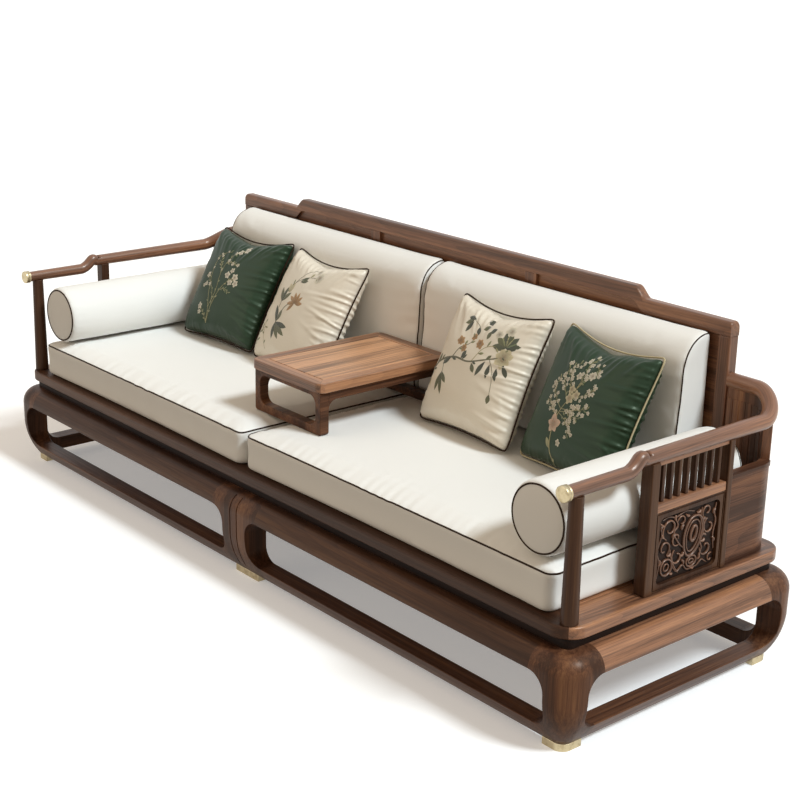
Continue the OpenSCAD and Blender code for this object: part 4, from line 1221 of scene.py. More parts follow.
def stuffed(name, points, faces, net, swell, material, room=None):
    """A filled cloth form: an even net over the shape, pushed out by its filling.

    room is the lowest and the highest corner of the room that the form has.
    """
    made = clean(put(name, points, faces, material=material))
    modify(made, "REMESH", mode="VOXEL", voxel_size=net, use_smooth_shade=True)
    modify(made, "SMOOTH", factor=0.5, iterations=3)
    bake(made)
    before = points_of(made.data)
    move = blow_up(made) - before
    far = np.linalg.norm(move, axis=1, keepdims=True)
    before = before + move * (swell * np.tanh(far / swell) / np.maximum(far, 1e-9))
    set_points(made.data, before)
    modify(made, "SUBSURF", levels=1, render_levels=1)
    bake(made)
    if room:
        keep_in(made, room)
    made.data.polygons.foreach_set("use_smooth", [True] * len(made.data.polygons))
    return made


def room_of(low, high, sign, over=0.0):
    """The corners of a cushion's room: it may swell in front, above and at its outer end."""
    swell = 2 * MM
    return (np.array([low.x - (swell if sign < 0 else 0), low.y - 3 * MM, low.z]),
            np.array([high.x + (swell if sign > 0 else 0), high.y, high.z + over]))


def keep_in(obj, room):
    """Holds a piece's points between the two corners of its room."""
    set_points(obj.data, np.clip(points_of(obj.data), *room))


def push(obj, move):
    """Moves each point of a piece along its normal."""
    set_points(obj.data, points_of(obj.data) + normals_of(obj.data) * move[:, None])


def pulls(along, inward, seed, length, reach):
    """Gathers that run in from a seam and fade out over their reach."""
    return (waves(along, seed, length) * np.exp(-inward / reach)
            * (1 - np.exp(-inward / (9 * MM))))


def blow_up(obj):
    """Where the points of a form come to rest when its filling presses on the cloth."""
    scene = bpy.context.scene
    cloth = modify(obj, "CLOTH")
    cloth.settings.use_pressure = True
    cloth.settings.uniform_pressure_force = 4
    cloth.settings.effector_weights.gravity = 0
    cloth.settings.quality = 4
    cloth.point_cache.frame_start, cloth.point_cache.frame_end = 1, 20
    for number in range(1, 21):
        scene.frame_set(number)
    graph = bpy.context.evaluated_depsgraph_get()
    after = points_of(obj.evaluated_get(graph).to_mesh())
    obj.modifiers.clear()
    scene.frame_set(1)
    return after


def tree_over(obj):
    """A search tree over a piece's surface."""
    mesh = obj.data
    return BVHTree.FromPolygons([v.co for v in mesh.vertices],
                                [tuple(p.vertices) for p in mesh.polygons])


def settled(surface, path, lift):
    """A path laid on a surface, its points lifted off it along the surface's normal."""
    laid = []
    for p in path:
        at, normal, _, _ = surface.find_nearest(Vector(p))
        laid.append(tuple(at + normal * lift))
    return laid


def evened(path, ring, step=6 * MM):
    """A path with its points at even steps."""
    points = np.array(path + [path[0]] if ring else path, float)
    run = np.concatenate([[0], np.cumsum(np.linalg.norm(np.diff(points, axis=0), axis=1))])
    count = max(int(run[-1] / step), 3)
    at = np.linspace(0, run[-1], count + 1)
    even = np.stack([np.interp(at, run, points[:, i]) for i in range(3)], axis=1)
    for _ in range(2):
        if ring:
            body = even[:-1]
            body = (np.roll(body, 1, 0) + 2 * body + np.roll(body, -1, 0)) / 4
            even = np.vstack([body, body[:1]])
        else:
            even[1:-1] = (even[:-2] + 2 * even[1:-1] + even[2:]) / 4
    return [tuple(p) for p in (even[:-1] if ring else even)]


def sewn_on(surface, path, ring, lift):
    """A path laid evenly on a surface, and whether it closes."""
    return evened(settled(surface, path, lift), ring), ring


def lofted(rings):
    """Points and faces through rings with the same number of points, closed at both ends."""
    n = len(rings[0])
    points = [tuple(p) for ring in rings for p in ring]
    faces = [(i * n + j, i * n + (j + 1) % n, (i + 1) * n + (j + 1) % n, (i + 1) * n + j)
             for i in range(len(rings) - 1) for j in range(n)]
    faces.append(tuple(range(n - 1, -1, -1)))
    faces.append(tuple(range((len(rings) - 1) * n, len(rings) * n)))
    return points, faces


# The seat cushions' corners, how far their sides bow in, and in millimetres from their sides
# where the seam lies and where the crown is full
CUSHION_CORNER, CUSHION_BOW = 34 * MM, 4 * MM
SEAM_INSET, CROWN_RUN = 3.5, 105


def pad_ring(low, high, inset, z, steps=14):
    """A rounded rectangle in plan, drawn in by inset, its sides bowed in between corners."""
    r, bow = max(CUSHION_CORNER - inset, 6 * MM), CUSHION_BOW
    ax, ay = (high[0] - low[0]) / 2 - inset - r, (high[1] - low[1]) / 2 - inset - r
    mx, my = (low[0] + high[0]) / 2, (low[1] + high[1]) / 2
    ring = []
    for q, (sx, sy) in enumerate(((1, 1), (-1, 1), (-1, -1), (1, -1))):
        for k in range(8):
            a = math.radians(90 * q + 90 * k / 8)
            ring.append((mx + sx * ax + r * math.cos(a), my + sy * ay + r * math.sin(a), z))
        a = math.radians(90 * q + 90)
        way = (-math.sin(a), math.cos(a))
        run = 2 * (ax if q % 2 == 0 else ay)
        for k in range(steps):
            t = k / steps
            depth = r - bow * 4 * t * (1 - t)
            ring.append((mx + sx * ax + depth * math.cos(a) + way[0] * run * t,
                         my + sy * ay + depth * math.sin(a) + way[1] * run * t, z))
    return ring


class SOFA_OT_seat_cushions(bpy.types.Operator):
    """Makes the two seat cushions with piping round their top edges"""

    bl_idname = "sofa.seat_cushions"
    bl_label = "Seat cushions"

    def execute(self, context):
        cloth = settings().cloth
        height, base, slack = SEAT_EDGE - SEAT_TOP - CLEAR, SEAT_TOP + CLEAR, 2.5 * MM
        # Each level is drawn in by so many millimetres: first those above the foot, then those
        # at a share of the height, and then those below the edge
        levels = [(inset, up * MM) for inset, up in ((12, 0), (5, 3), (1, 10), (0.5, 16))]
        levels += [(inset, height * up) for inset, up in ((2.5, 0.33), (3.5, 0.5), (2.5, 0.68))]
        levels += [(inset, height - down * MM)
                   for inset, down in ((0.5, 12), (0, 6), (1, 2), (3.5, 0))]
        for side, sign in SIDES:
            low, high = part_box("seat_cushion_" + side)
            rings = [pad_ring(low, high, inset * MM + slack, base + z) for inset, z in levels]
            for k in range(1, 13):
                inset = SEAM_INSET + (CROWN_RUN - SEAM_INSET) * k / 12
                rise = 13 * (1 - (1 - inset / CROWN_RUN) ** 2)
                rings.append(pad_ring(low, high, inset * MM + slack,
                                      base + height + rise * MM - slack))
            room = room_of(low, high, sign)
            made = stuffed("cushion_seat_" + side, *lofted(rings), cloth.net, cloth.swell,
                           "cream_cloth", room)
            self.crease(made, low, high, 11 if side == "right" else 23)
            keep_in(made, room)
            edge = pad_ring(low, high, SEAM_INSET * MM, SEAT_EDGE, 60)
            path = sewn_on(tree_over(made), evened(edge, True), True, 0.4 * MM)
            piping = rod("piping_seat_" + side, [path], cloth.piping_radius, "dark_piping")
            done(made, "sofa", "cream_upholstery", "seat_cushion_" + side)
            done(piping, "sofa", "dark_wood")
        return {"FINISHED"}

    def crease(self, obj, low, high, seed):
        """Slight pulls across the piping, and a soft unevenness over the top."""
        x, y, _ = points_of(obj.data).T
        upright = normals_of(obj.data)[:, 2]
        near = np.stack([x - low.x, high.x - x, y - low.y, high.y - y])
        inward = near.min(0)
        along = np.where(near.argmin(0) < 2, y, x)
        pull = pulls(along + inward * 0.25, inward, seed, 46 * MM, 55 * MM)
        soft = waves(x + 0.4 * y, seed + 1, 0.42) * waves(y - 0.3 * x, seed + 2, 0.33)
        flank = (1 - abs(upright)) * waves(along, seed + 3, 0.12)
        push(obj, np.clip(upright, 0, 1) * (pull * 1.6 * MM + soft * 1.6 * MM - 1 * MM)
             + flank * 0.9 * MM)


BACK_DEPTH, BACK_ROLL = 120 * MM, 100 * MM


def back_section(low, high, full, t_count=10):
    """Section of a back cushion in Y and Z, its front face forward by full."""
    y1, y0 = high.y, high.y - BACK_DEPTH
    ys, z0, z1 = y0 + 17 * MM, low.z, high.z
    zs = z1 - BACK_ROLL
    line = [(y0 + 12 * MM, z0), (y0 + 3 * MM - full * 0.3, z0 + 4 * MM)]
    for t in np.linspace(0, 1, t_count):
        out = full * (0.4 + 0.6 * math.sin(math.pi * min(t + 0.15, 1)))
        line.append((y0 + (ys - y0) * t - out, z0 + 14 * MM + (zs - z0 - 14 * MM) * t))
    p0, p1, p2 = (np.array(p) for p in ((ys, zs), (ys + 9 * MM, z1 - 3 * MM), (y1 - 9 * MM, z1)))
    for t in np.linspace(0, 1, 15)[1:]:
        line.append(tuple((1 - t) ** 2 * p0 + 2 * t * (1 - t) * p1 + t * t * p2))
    line += [(y1 - 5 * MM, z1 - 1 * MM), (y1 - 2 * MM, z1 - 3 * MM), (y1, z1 - 9 * MM),
             (y1, z0 + 9 * MM), (y1 - 3 * MM, z0)]
    return [np.array(p) for p in line]


class SOFA_OT_back_cushions(bpy.types.Operator):
    """Makes the two back cushions, their tops rolled back, with piping at both ends"""

    bl_idname = "sofa.back_cushions"
    bl_label = "Back cushions"

    def execute(self, context):
        cloth = settings().cloth
        for side, sign in SIDES:
            low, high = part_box("back_cushion_" + side)
            inner, outer = 0.3 * MM, max(abs(low.x), abs(high.x))
            width = outer - inner
            stations = [(0, 9), (2, 4), (8, 0.6), (24, 0)]
            rings = [self.ring(low, high, sign * (inner + at * MM + 2 * MM), 0, pull * MM)
                     for at, pull in stations]
            for k in range(1, 16):
                m = k / 16
                rings.append(self.ring(low, high, sign * (inner + 26 * MM
                             + (width - 52 * MM) * m), 7 * MM * (1 - (2 * m - 1) ** 4), 0))
            rings += [self.ring(low, high, sign * (outer - at * MM - 2 * MM), 0, pull * MM)
                      for at, pull in reversed(stations)]
            room = room_of(low, high, sign, 2 * MM)
            made = stuffed("cushion_back_" + side, *lofted(rings), cloth.net * 0.85,
                           cloth.swell, "cream_cloth", room)
            self.crease(made, low, high, 31 + sign)
            keep_in(made, room)
            surface = tree_over(made)
            paths = []
            for at in (inner + 4 * MM, outer - 5 * MM):
                section = self.ring(low, high, sign * at, 0, 1.2 * MM)[1:-3]
                paths.append(sewn_on(surface, evened(section, False), False, 0.3 * MM))
            top = [(sign * (inner + 6 * MM + (width - 12 * MM) * t), high.y - 4 * MM,
                    high.z - 2 * MM) for t in np.linspace(0, 1, 60)]
            paths.append(sewn_on(surface, top, False, 0.2 * MM))
            piping = rod("piping_back_" + side, paths, cloth.piping_radius * 0.8, "dark_piping")
            set_points(piping.data, np.minimum(points_of(piping.data), [9, high.y + MM, 9]))
            done(made, "sofa", "cream_upholstery", "back_cushion_" + side)
            done(piping, "sofa", "dark_wood")
        return {"FINISHED"}

    def ring(self, low, high, x, full, pull):
        middle = np.array([(high.y - 60 * MM), (low.z + high.z) / 2])
        ring = []
        for p in back_section(low, high, full):
            way = middle - p
            q = p + way / np.linalg.norm(way) * (pull + 2 * MM)
            ring.append((x, q[0], q[1]))
        return ring

    def crease(self, obj, low, high, seed):
        """Pulls towards the end seams and a soft unevenness down the front."""
        x, _, z = points_of(obj.data).T
        inward = np.minimum(x - low.x, high.x - x)
        pull = pulls(z + inward * 0.15, inward, seed, 52 * MM, 60 * MM)
        soft = waves(x + 0.3 * z, seed + 1, 0.36) * waves(z - 0.2 * x, seed + 2, 0.3)
        front = np.clip(-normals_of(obj.data)[:, 1], 0, 1)
        push(obj, front * (pull * 1.8 * MM + soft * 1.8 * MM))


BOLSTER_R = 92 * MM


class SOFA_OT_bolsters(bpy.types.Operator):
    """Makes the two bolsters with piped ends and a piped closing seam"""

    bl_idname = "sofa.bolsters"
    bl_label = "Bolsters"

    def execute(self, context):
        cloth = settings().cloth
        for side in ("left", "right"):
            low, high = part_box("bolster_" + side)
            r, x, z = (high.x - low.x) / 2, (low.x + high.x) / 2, (low.z + high.z) / 2
            long = high.y - low.y
            k, slack = 10 * MM, 1.5 * MM
            profile = [(0.02, 0), (0.5, 1.2 * MM), (0.8, 3.2 * MM)]
            profile = [(r * a, b) for a, b in profile]
            profile += [(r - k + k * math.sin(a), 4.5 * MM + k - k * math.cos(a))
                        for a in np.linspace(0, math.pi / 2, 6)]
            profile += [(r + 0.5 * MM * math.sin(math.pi * t), 14.5 * MM + t * (long - 29 * MM))
                        for t in np.linspace(0, 1, 24)[1:-1]]
            profile += [(a, long - b) for a, b in reversed(profile[:9])]
            rings = [[(x + max(a - slack, 0.4 * MM) * math.cos(q), low.y + b,
                       z + max(a - slack, 0.4 * MM) * math.sin(q))
                      for q in round_angles(64)]
                     for a, b in profile]
            made = stuffed("bolster_roll_" + side, *lofted(rings), cloth.net * 0.75,
                           cloth.swell * 0.4, "cream_cloth")
            self.crease(made, x, z, low.y, long, 5 if side == "left" else 9)
            surface = tree_over(made)
            fine = cloth.piping_radius * 0.7
            rings = [self.hoop(surface, x, z, low.y + 2 * MM, r - 9 * MM, 0.4 * MM)]
            piping = rod("piping_bolster_" + side, rings, cloth.piping_radius, "dark_piping")
            ends = [self.hoop(surface, x, z, high.y - 4 * MM, r - 4 * MM, 0.1 * MM),
                    self.hoop(surface, x, z, high.y - 16 * MM, r, 0.1 * MM)]
            a = math.radians(-66)
            seam = [(x + r * math.cos(a), low.y + t * long, z + r * math.sin(a))
                    for t in np.linspace(0.025, 0.975, 90)]
            ends.append(sewn_on(surface, seam, False, 0.1 * MM))
            trim = rod("trim_bolster_" + side, ends, fine, "dark_piping")
            body = "bolster_" + side
            done(made, body, "cream_upholstery", body)
            done(piping, body, "dark_wood")
            done(trim, body, "dark_wood")
        return {"FINISHED"}

    def hoop(self, surface, x, z, y, r, lift):
        path = [(x + r * math.cos(q), y, z + r * math.sin(q))
                for q in round_angles(90)]
        return sewn_on(surface, path, True, lift)

    def crease(self, obj, x0, z0, y0, long, seed):
        """Fine gathers that run in from both ends."""
        x, y, z = points_of(obj.data).T
        round_ = np.arctan2(z - z0, x - x0) * BOLSTER_R
        inward = np.minimum(y - y0, y0 + long - y)
        pull = waves(round_ + inward * 0.1, seed, 34 * MM) * np.exp(-inward / (45 * MM))
        pull *= 1 - np.exp(-np.maximum(inward - 6 * MM, 0) / (8 * MM))
        soft = waves(y, seed + 1, 0.16) * waves(round_, seed + 2, 0.3)
        push(obj, pull * 0.9 * MM + soft * 0.7 * MM - 0.8 * MM)


# Throw pillows

PILLOW_HALF, PILLOW_THICK, PILLOW_SEAM = 192.5 * MM, 126 * MM, 5 * MM
# How far the edges are drawn in, and the top edge hangs, between the corners
PILLOW_DRAW, PILLOW_SAG = 12 * MM, 32 * MM
# Yaw, lean and spin in degrees
POSES = {
    "green_left": (1, 29, 1), "cream_left": (-4, 29, 1),
    "cream_right": (-4, 25, 1), "green_right": (-9, 24, 0),
}


def pillow_point(u, v, side, thick=PILLOW_THICK, inset=0.0, power=0.5):
    """A point of an upright pillow; u and v run from -1 to 1, and side is 1 in front."""
    half, draw = PILLOW_HALF - inset, PILLOW_DRAW / PILLOW_HALF
    hang = draw + (PILLOW_SAG / PILLOW_HALF - draw) * (1 + v) / 2
    full = max((1 - u * u) * (1 - v * v), 0) ** power
    return np.array([
        half * u * (1 - draw * (1 - v * v)),
        -side * (PILLOW_SEAM / 2 + (thick - PILLOW_SEAM) / 2 * full),
        half * v * (1 - hang * (1 - u * u)),
    ])


def rounded(p, u, v):
    """A pillow's point drawn in near a corner, so that the corner is round."""
    draw = 1 - 0.035 * abs(u * v) ** 11
    return p * np.array([draw, 1, draw])


def pillow_turn(pose):
    """The turn of a pillow: spin in its own plane, then lean back, then yaw."""
    yaw, lean, spin = (math.radians(a) for a in pose)
    return (Matrix.Rotation(yaw, 3, "Z") @ Matrix.Rotation(-lean, 3, "X")
            @ Matrix.Rotation(-spin, 3, "Y"))


def pillow_place(name):
    """The matrix that takes an upright pillow to its place on the seat."""
    turn = np.array(pillow_turn(POSES[name]))
    steps = [math.sin(math.pi / 2 * (2 * i / 12 - 1)) for i in range(13)]
    points = np.array([pillow_point(u, v, s) for s in (1, -1) for u in steps for v in steps])
    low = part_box("pillow_" + name)[0]
    shift = np.array(low) - (points @ turn.T).min(0)
    made = Matrix([list(map(float, row)) for row in turn]).to_4x4()
    made.translation = Vector(shift)
    return made


class Needlework:
    """Stitched shapes in the plane of a pillow, in millimetres from its middle."""

    def __init__(self, seed):
        self.chance = np.random.default_rng(seed)
        self.stitches, self.faces = [], []

    def add(self, rows):
        """A patch from rows of stitches: place, height, colour and way along the thread."""
        start, n = len(self.stitches), len(rows[0])
        for row in rows:
            self.stitches += row
        for i in range(len(rows) - 1):
            for j in range(n - 1):
                a = start + i * n + j
                self.faces.append((a, a + 1, a + n + 1, a + n))

    def petal(self, at, angle, length, width, tint, tip=1.0, bend=0.0, deep=0.75):
        """A petal or leaf from its foot; tip is 1 for a round end and 2 for a sharp one."""
        a = math.radians(angle)
        way, side = np.array([math.cos(a), math.sin(a)]), np.array([-math.sin(a), math.cos(a)])
        rows = []
        for t in np.linspace(0, 1, 7):
            half = width / 2 * max(math.sin(math.pi * t ** (0.75 * tip)), 0) ** (0.55 * tip + 0.1)
            spine = np.array(at) + way * length * t + side * bend * length * t * t
            row = []
            for s in np.linspace(-1, 1, 5):
                share = (deep + (1 - deep) * t) * (1 - 0.3 * (1 - abs(s)) * (1 - t))
                row.append((spine + side * half * s,
                            0.25 + 0.75 * (1 - s * s) * math.sin(math.pi * min(t + 0.05, 1)),
                            [c * share for c in tint],
                            (t * length * 0.9 + abs(s) * half * 0.6) * MM))
            rows.append(row)
        self.add(rows)

    def fan(self, at, angles, length, width, tints, tip=1.0, bend=0.0, deep=0.75):
        """Petals from one foot, their colours in turn by their angles."""
        for angle in angles:
            self.petal(at, angle, length, width, tints[angle % len(tints)], tip, bend, deep)

    def blossom(self, at, radius, tint, petals=5, turn=0.0, heart="c99a3f"):
        """An open flower with stamens."""
        for k in range(petals):
            angle = turn + 360 / petals * k + self.chance.uniform(-9, 9)
            size = radius * self.chance.uniform(0.82, 1.1)
            self.petal(at, angle, size, size * 0.78, tint, 1.0, 0, 0.55)
            if radius > 12:
                self.petal(at, angle + 8, size * 0.62, size * 0.3,
                           blended(tint, (0.2, 0.1, 0.04), 0.45), 1.3, 0.1, 0.7)
        for k in range(5):
            angle = math.radians(turn + 36 + 72 * k)
            foot = np.array(at) + radius * 0.22 * np.array([math.cos(angle), math.sin(angle)])
            self.petal(foot, math.degrees(angle), radius * 0.2, radius * 0.16, linear(heart), 0.9)

    def stem(self, places, width, tint, taper=0.55):
        """A stem through places, thinner towards its end. Returns its points."""
        line = curve_through(places, 7)
        way = np.gradient(np.array(line), axis=0)
        way /= np.linalg.norm(way, axis=1, keepdims=True)
        side = np.stack([-way[:, 1], way[:, 0]], axis=1)
        rows = []
        for i, p in enumerate(line):
            half = width / 2 * (1 - taper * i / (len(line) - 1))
            rows.append([(p + side[i] * half * s, height, tint, i * 1.7 * MM)
                         for s, height in ((-1, 0.2), (0, 0.8), (1, 0.2))])
        self.add(rows)
        return line

    def leaves(self, line, count, length, width, tints, start=0.15, tip=1.6, spread=42):
        """Leaves on both sides of a stem."""
        for k in range(count):
            i = int((start + (1 - start) * k / max(count - 1, 1)) * (len(line) - 2))
            way = np.array(line[i + 1]) - np.array(line[i])
            angle = math.degrees(math.atan2(way[1], way[0]))
            angle += (spread if k % 2 else -spread) + self.chance.uniform(-14, 14)
            size = length * self.chance.uniform(0.75, 1.15)
            tint = tints[int(self.chance.integers(len(tints)))]
            self.petal(line[i], angle, size, width * self.chance.uniform(0.8, 1.15), tint, tip,
                       self.chance.uniform(-0.12, 0.12), 0.7)

    def sew(self, name, surface, place, body):
        """Lays the shapes on an upright pillow's front and takes them to its place."""
        laid = []
        for (x, z), height, _, _ in self.stitches:
            at, normal, _, _ = surface.ray_cast(Vector((x * MM, -0.3, z * MM)),
                                                Vector((0, 1, 0)))
            if at is None:
                raise RuntimeError(f"{name}: a stitch at {x:.0f}, {z:.0f} misses the pillow")
            laid.append(place @ (at + normal * (height * 0.9 * MM)))
        made = put(name, laid, self.faces, material="silk_thread")
        made.data.attributes.new("tint", "FLOAT_COLOR", "POINT").data.foreach_set(
            "color", [c for _, _, tint, _ in self.stitches for c in (*tint, 1.0)])
        floats(made, stitch=[way for _, _, _, way in self.stitches])
        turn_outwards(made, place.to_3x3() @ Vector((0, -1, 0)))
        return done(made, body, "cream_satin")


def turn_outwards(obj, way):
    """Turns an open sheet's faces towards a direction."""
    shape = shape_of(obj.data)
    for face in shape.faces:
        face.normal_update()
    bmesh.ops.reverse_faces(shape, faces=[f for f in shape.faces if f.normal.dot(way) < 0])
    shape.to_mesh(obj.data)
    shape.free()


LEAVES = [linear(c) for c in ("3a3f26", "4e5232", "646540", "444a34")]
DIM_LEAVES = [linear(c) for c in ("8e8f62", "a8a276", "6f7a52")]
BARK, GOLD, AMBER = linear("5f5c40"), linear("a59a6c"), linear("b58a55")
IVORY, BLUSH, STRAW = linear("e6ddc6"), linear("dcbca2"), linear("d3c6a0")


def lily_and_leaves(work):
    """An amber lily over dark leaves, with thin stems that rise to a pale blossom."""
    work.stem([(-70, -72), (-58, -26), (-34, 0), (-10, 8)], 4.5, BARK)
    tall = work.stem([(-84, -20), (-80, 26), (-50, 70), (-4, 96), (40, 102)], 2.8, BARK)
    work.stem([(-68, 38), (-42, 84), (-14, 118), (10, 126)], 2.4, BARK)
    low = work.stem([(-158, -152), (-150, -112), (-120, -88)], 2.4, BARK)
    bent = work.stem([(-96, -156), (-120, -120), (-126, -70)], 2.0, GOLD)
    for angle, long in ((-12, 66), (-34, 72), (-58, 62), (-92, 54), (66, 46), (112, 58)):
        work.petal((-70, -66), angle, long, 18, LEAVES[abs(angle) % 4], 1.5, 0.12, 0.6)
    work.fan((-82, 0), (50, 88, 122), 50, 16, LEAVES[:3], 1.5, -0.1, 0.6)
    work.leaves(tall, 5, 20, 6, DIM_LEAVES, 0.3)
    work.leaves(low, 5, 24, 7, DIM_LEAVES, 0.2)
    work.leaves(bent, 3, 16, 5, DIM_LEAVES, 0.3)
    work.fan((-8, 6), (5, 40, 75, 110, 145, 185, 225), 38, 13, [AMBER], 1.5, 0.08, 0.55)
    work.petal((-60, 34), 76, 36, 16, STRAW, 1.2)
    work.petal((-60, 34), 116, 32, 15, STRAW, 1.2)
    work.fan((-30, 76), (15, 38), 36, 12, [LEAVES[1]], 1.5)
    work.blossom((46, 104), 21, IVORY, 6, 10, "b4713f")
    work.blossom((24, 124), 13, IVORY, 5, 40, "b4713f")


def flowering_branch(work):
    """A branch across the pillow, with amber flowers, a large pale one and hanging leaves."""
    main = work.stem([(-168, -72), (-130, -20), (-70, 4), (-8, 4), (54, 24), (110, 46)], 7, BARK)
    high = work.stem([(-78, 2), (-58, 34), (-30, 52), (-20, 74)], 3.2, BARK)
    work.stem([(-16, 76), (-24, 104), (-52, 118)], 2.2, BARK)
    far = work.stem([(6, 8), (30, 50), (70, 66), (112, 58)], 2.6, GOLD)
    work.stem([(68, 28), (92, -4), (104, -44), (108, -66)], 2.2, BARK)
    work.stem([(-110, -10), (-100, -46), (-92, -78)], 2.4, BARK)
    work.leaves(main, 7, 22, 8, LEAVES, 0.1)
    work.leaves(high, 4, 20, 7, DIM_LEAVES, 0.3)
    work.leaves(far, 4, 20, 8, DIM_LEAVES, 0.2)
    for at, angle, long in (
        ((56, 20), -118, 50), ((74, 16), -92, 40), ((100, 12), -80, 36), ((116, 28), -60, 40),
        ((108, -60), -100, 26), ((-104, -48), -76, 62), ((-104, -48), -104, 54),
        ((-104, -44), -48, 42), ((-140, -30), 70, 36), ((-150, -46), 150, 26),
        ((-80, 2), 215, 40), ((10, 4), -60, 30), ((-40, 6), 60, 28), ((-52, 118), 200, 34),
        ((-52, 116), 240, 40), ((-50, 120), 170, 30), ((-24, 104), 290, 26),
        ((20, 112), 200, 26), ((34, 104), 250, 28), ((20, 118), 150, 30), ((48, 112), 215, 24),
    ):
        work.petal(at, angle, long, 15, LEAVES[abs(angle + long) % 4], 1.5, 0.1, 0.55)
    work.fan((104, 70), (20, 55, 85, 115, 150, 185), 46, 20, LEAVES, 1.2, 0, 0.7)
    work.fan((104, 72), (35, 70, 100, 135), 34, 15, DIM_LEAVES, 1.1, 0, 0.8)
    for x, z, r in ((-66, 52, 15), (-44, 36, 12), (-22, 74, 12), (10, 60, 17)):
        work.blossom((x, z), r, AMBER, 6, x, "7a4526")
    work.blossom((110, 44), 32, STRAW, 7, 15, "a8702f")
    work.blossom((98, 118), 19, IVORY, 6, 15, "a8a276")
    work.blossom((66, 100), 13, IVORY, 6, 15, "a8a276")
    work.fan((-150, -66), (250, 285), 28, 10, [STRAW], 1.4)


def arching_sprays(work):
    """Long thin stems that rise from the foot and arch over, with blossoms along them."""
    foot = (-38, -146)
    lines = [work.stem(places, width, GOLD) for width, *places in (
        (2.0, foot, (-40, -96), (-66, -30), (-84, 40), (-70, 84), (-30, 100)),
        (2.2, foot, (-26, -86), (-8, -30), (22, 8), (44, 16)),
        (1.8, (-40, -96), (-26, -40), (-34, 30), (-16, 84), (26, 112)),
        (1.6, (-26, -86), (-44, -40), (-72, -14), (-92, 4)),
        (1.5, (-8, -30), (18, -24), (40, -34)),
        (1.7, foot, (-56, -120), (-84, -104)),
        (1.5, (-30, 30), (-52, 50), (-60, 76)),
        (1.5, (-24, 60), (6, 66), (30, 62)),
    )]
    for line in lines:
        work.leaves(line, 8, 12, 4, DIM_LEAVES, 0.15, 1.5, 38)
    for x, z, r in ((44, 20, 15), (30, 0, 12), (56, 2, 13), (4, 22, 14), (20, 40, 11),
                    (36, 120, 15), (12, 106, 12), (-86, -98, 13), (-82, -118, 10),
                    (-94, 8, 11), (-90, -22, 9), (-100, -30, 8)):
        work.blossom((x, z), r, IVORY, 5, x + z, "b4713f")
    for line, shares in ((lines[0], (0.45, 0.6, 0.72, 0.84, 0.96)), (lines[2], (0.5, 0.7, 0.84)),
                         (lines[3], (0.7,)), (lines[6], (1,)), (lines[7], (0.6, 1))):
        for share in shares:
            at = np.array(line[int(share * (len(line) - 1))]) + work.chance.uniform(-5, 5, 2)
            work.blossom(at, work.chance.uniform(5, 8), IVORY, 5, share * 200, "b98f4a")


def blossom_spray(work):
    """A large blush flower, and over it a spray of small pale blossoms."""
    main = work.stem([(-16, -172), (-34, -130), (-40, -84), (-34, -40), (-12, 10), (8, 60)],
                     3.4, GOLD)
    lines = [work.stem(places, width, GOLD) for width, *places in (
        (1.6, (-30, -30), (-62, -8), (-84, 18), (-78, 46)),
        (1.5, (-34, -46), (-66, -32), (-92, -18)),
        (1.6, (-12, 8), (-34, 44), (-50, 78), (-30, 98)),
        (1.6, (-2, 34), (20, 66), (42, 84), (34, 104)),
        (1.6, (-16, 0), (20, 18), (48, 34), (58, 56)),
        (1.6, (-28, -28), (10, -22), (38, -12), (62, -2)),
        (1.5, (-32, -40), (0, -52), (24, -66), (22, -84)),
        (1.4, (-20, -6), (-44, 24), (-62, 48), (-60, 80)),
        (1.5, (-4, 30), (4, 68), (-2, 100), (8, 122)),
        (1.4, (-30, -36), (-2, -30), (22, -36), (46, -34)),
    )]
    for line in lines:
        work.leaves(line, 8, 12, 4.2, DIM_LEAVES, 0.15, 1.5, 38)
        for share in (0.35, 0.5, 0.62, 0.74, 0.87, 1):
            for _ in range(2):
                at = np.array(line[int(share * (len(line) - 1))])
                at = at + work.chance.uniform(-12, 12, 2)
                work.blossom(at, work.chance.uniform(4, 7.5), IVORY, 5, at[0] * 9, "b98f4a")
    for x, z, r in ((-14, 4, 17), (6, 18, 15), (-18, 28, 14), (-14, 66, 12), (30, 78, 13)):
        work.blossom((x, z), r, STRAW if r > 13 else IVORY, 5, x * 7, "b4713f")
    work.blossom((-40, -72), 27, BLUSH, 5, 30, "b8733c")
    work.leaves(main, 3, 16, 7, DIM_LEAVES, 0.05)
    work.petal((-34, -134), 128, 30, 14, DIM_LEAVES[1], 1.2)
    work.blossom((-4, -112), 10, IVORY, 5, 20, "b98f4a")


LAYOUTS = {
    "green_left": arching_sprays, "cream_left": lily_and_leaves,
    "cream_right": flowering_branch, "green_right": blossom_spray,
}


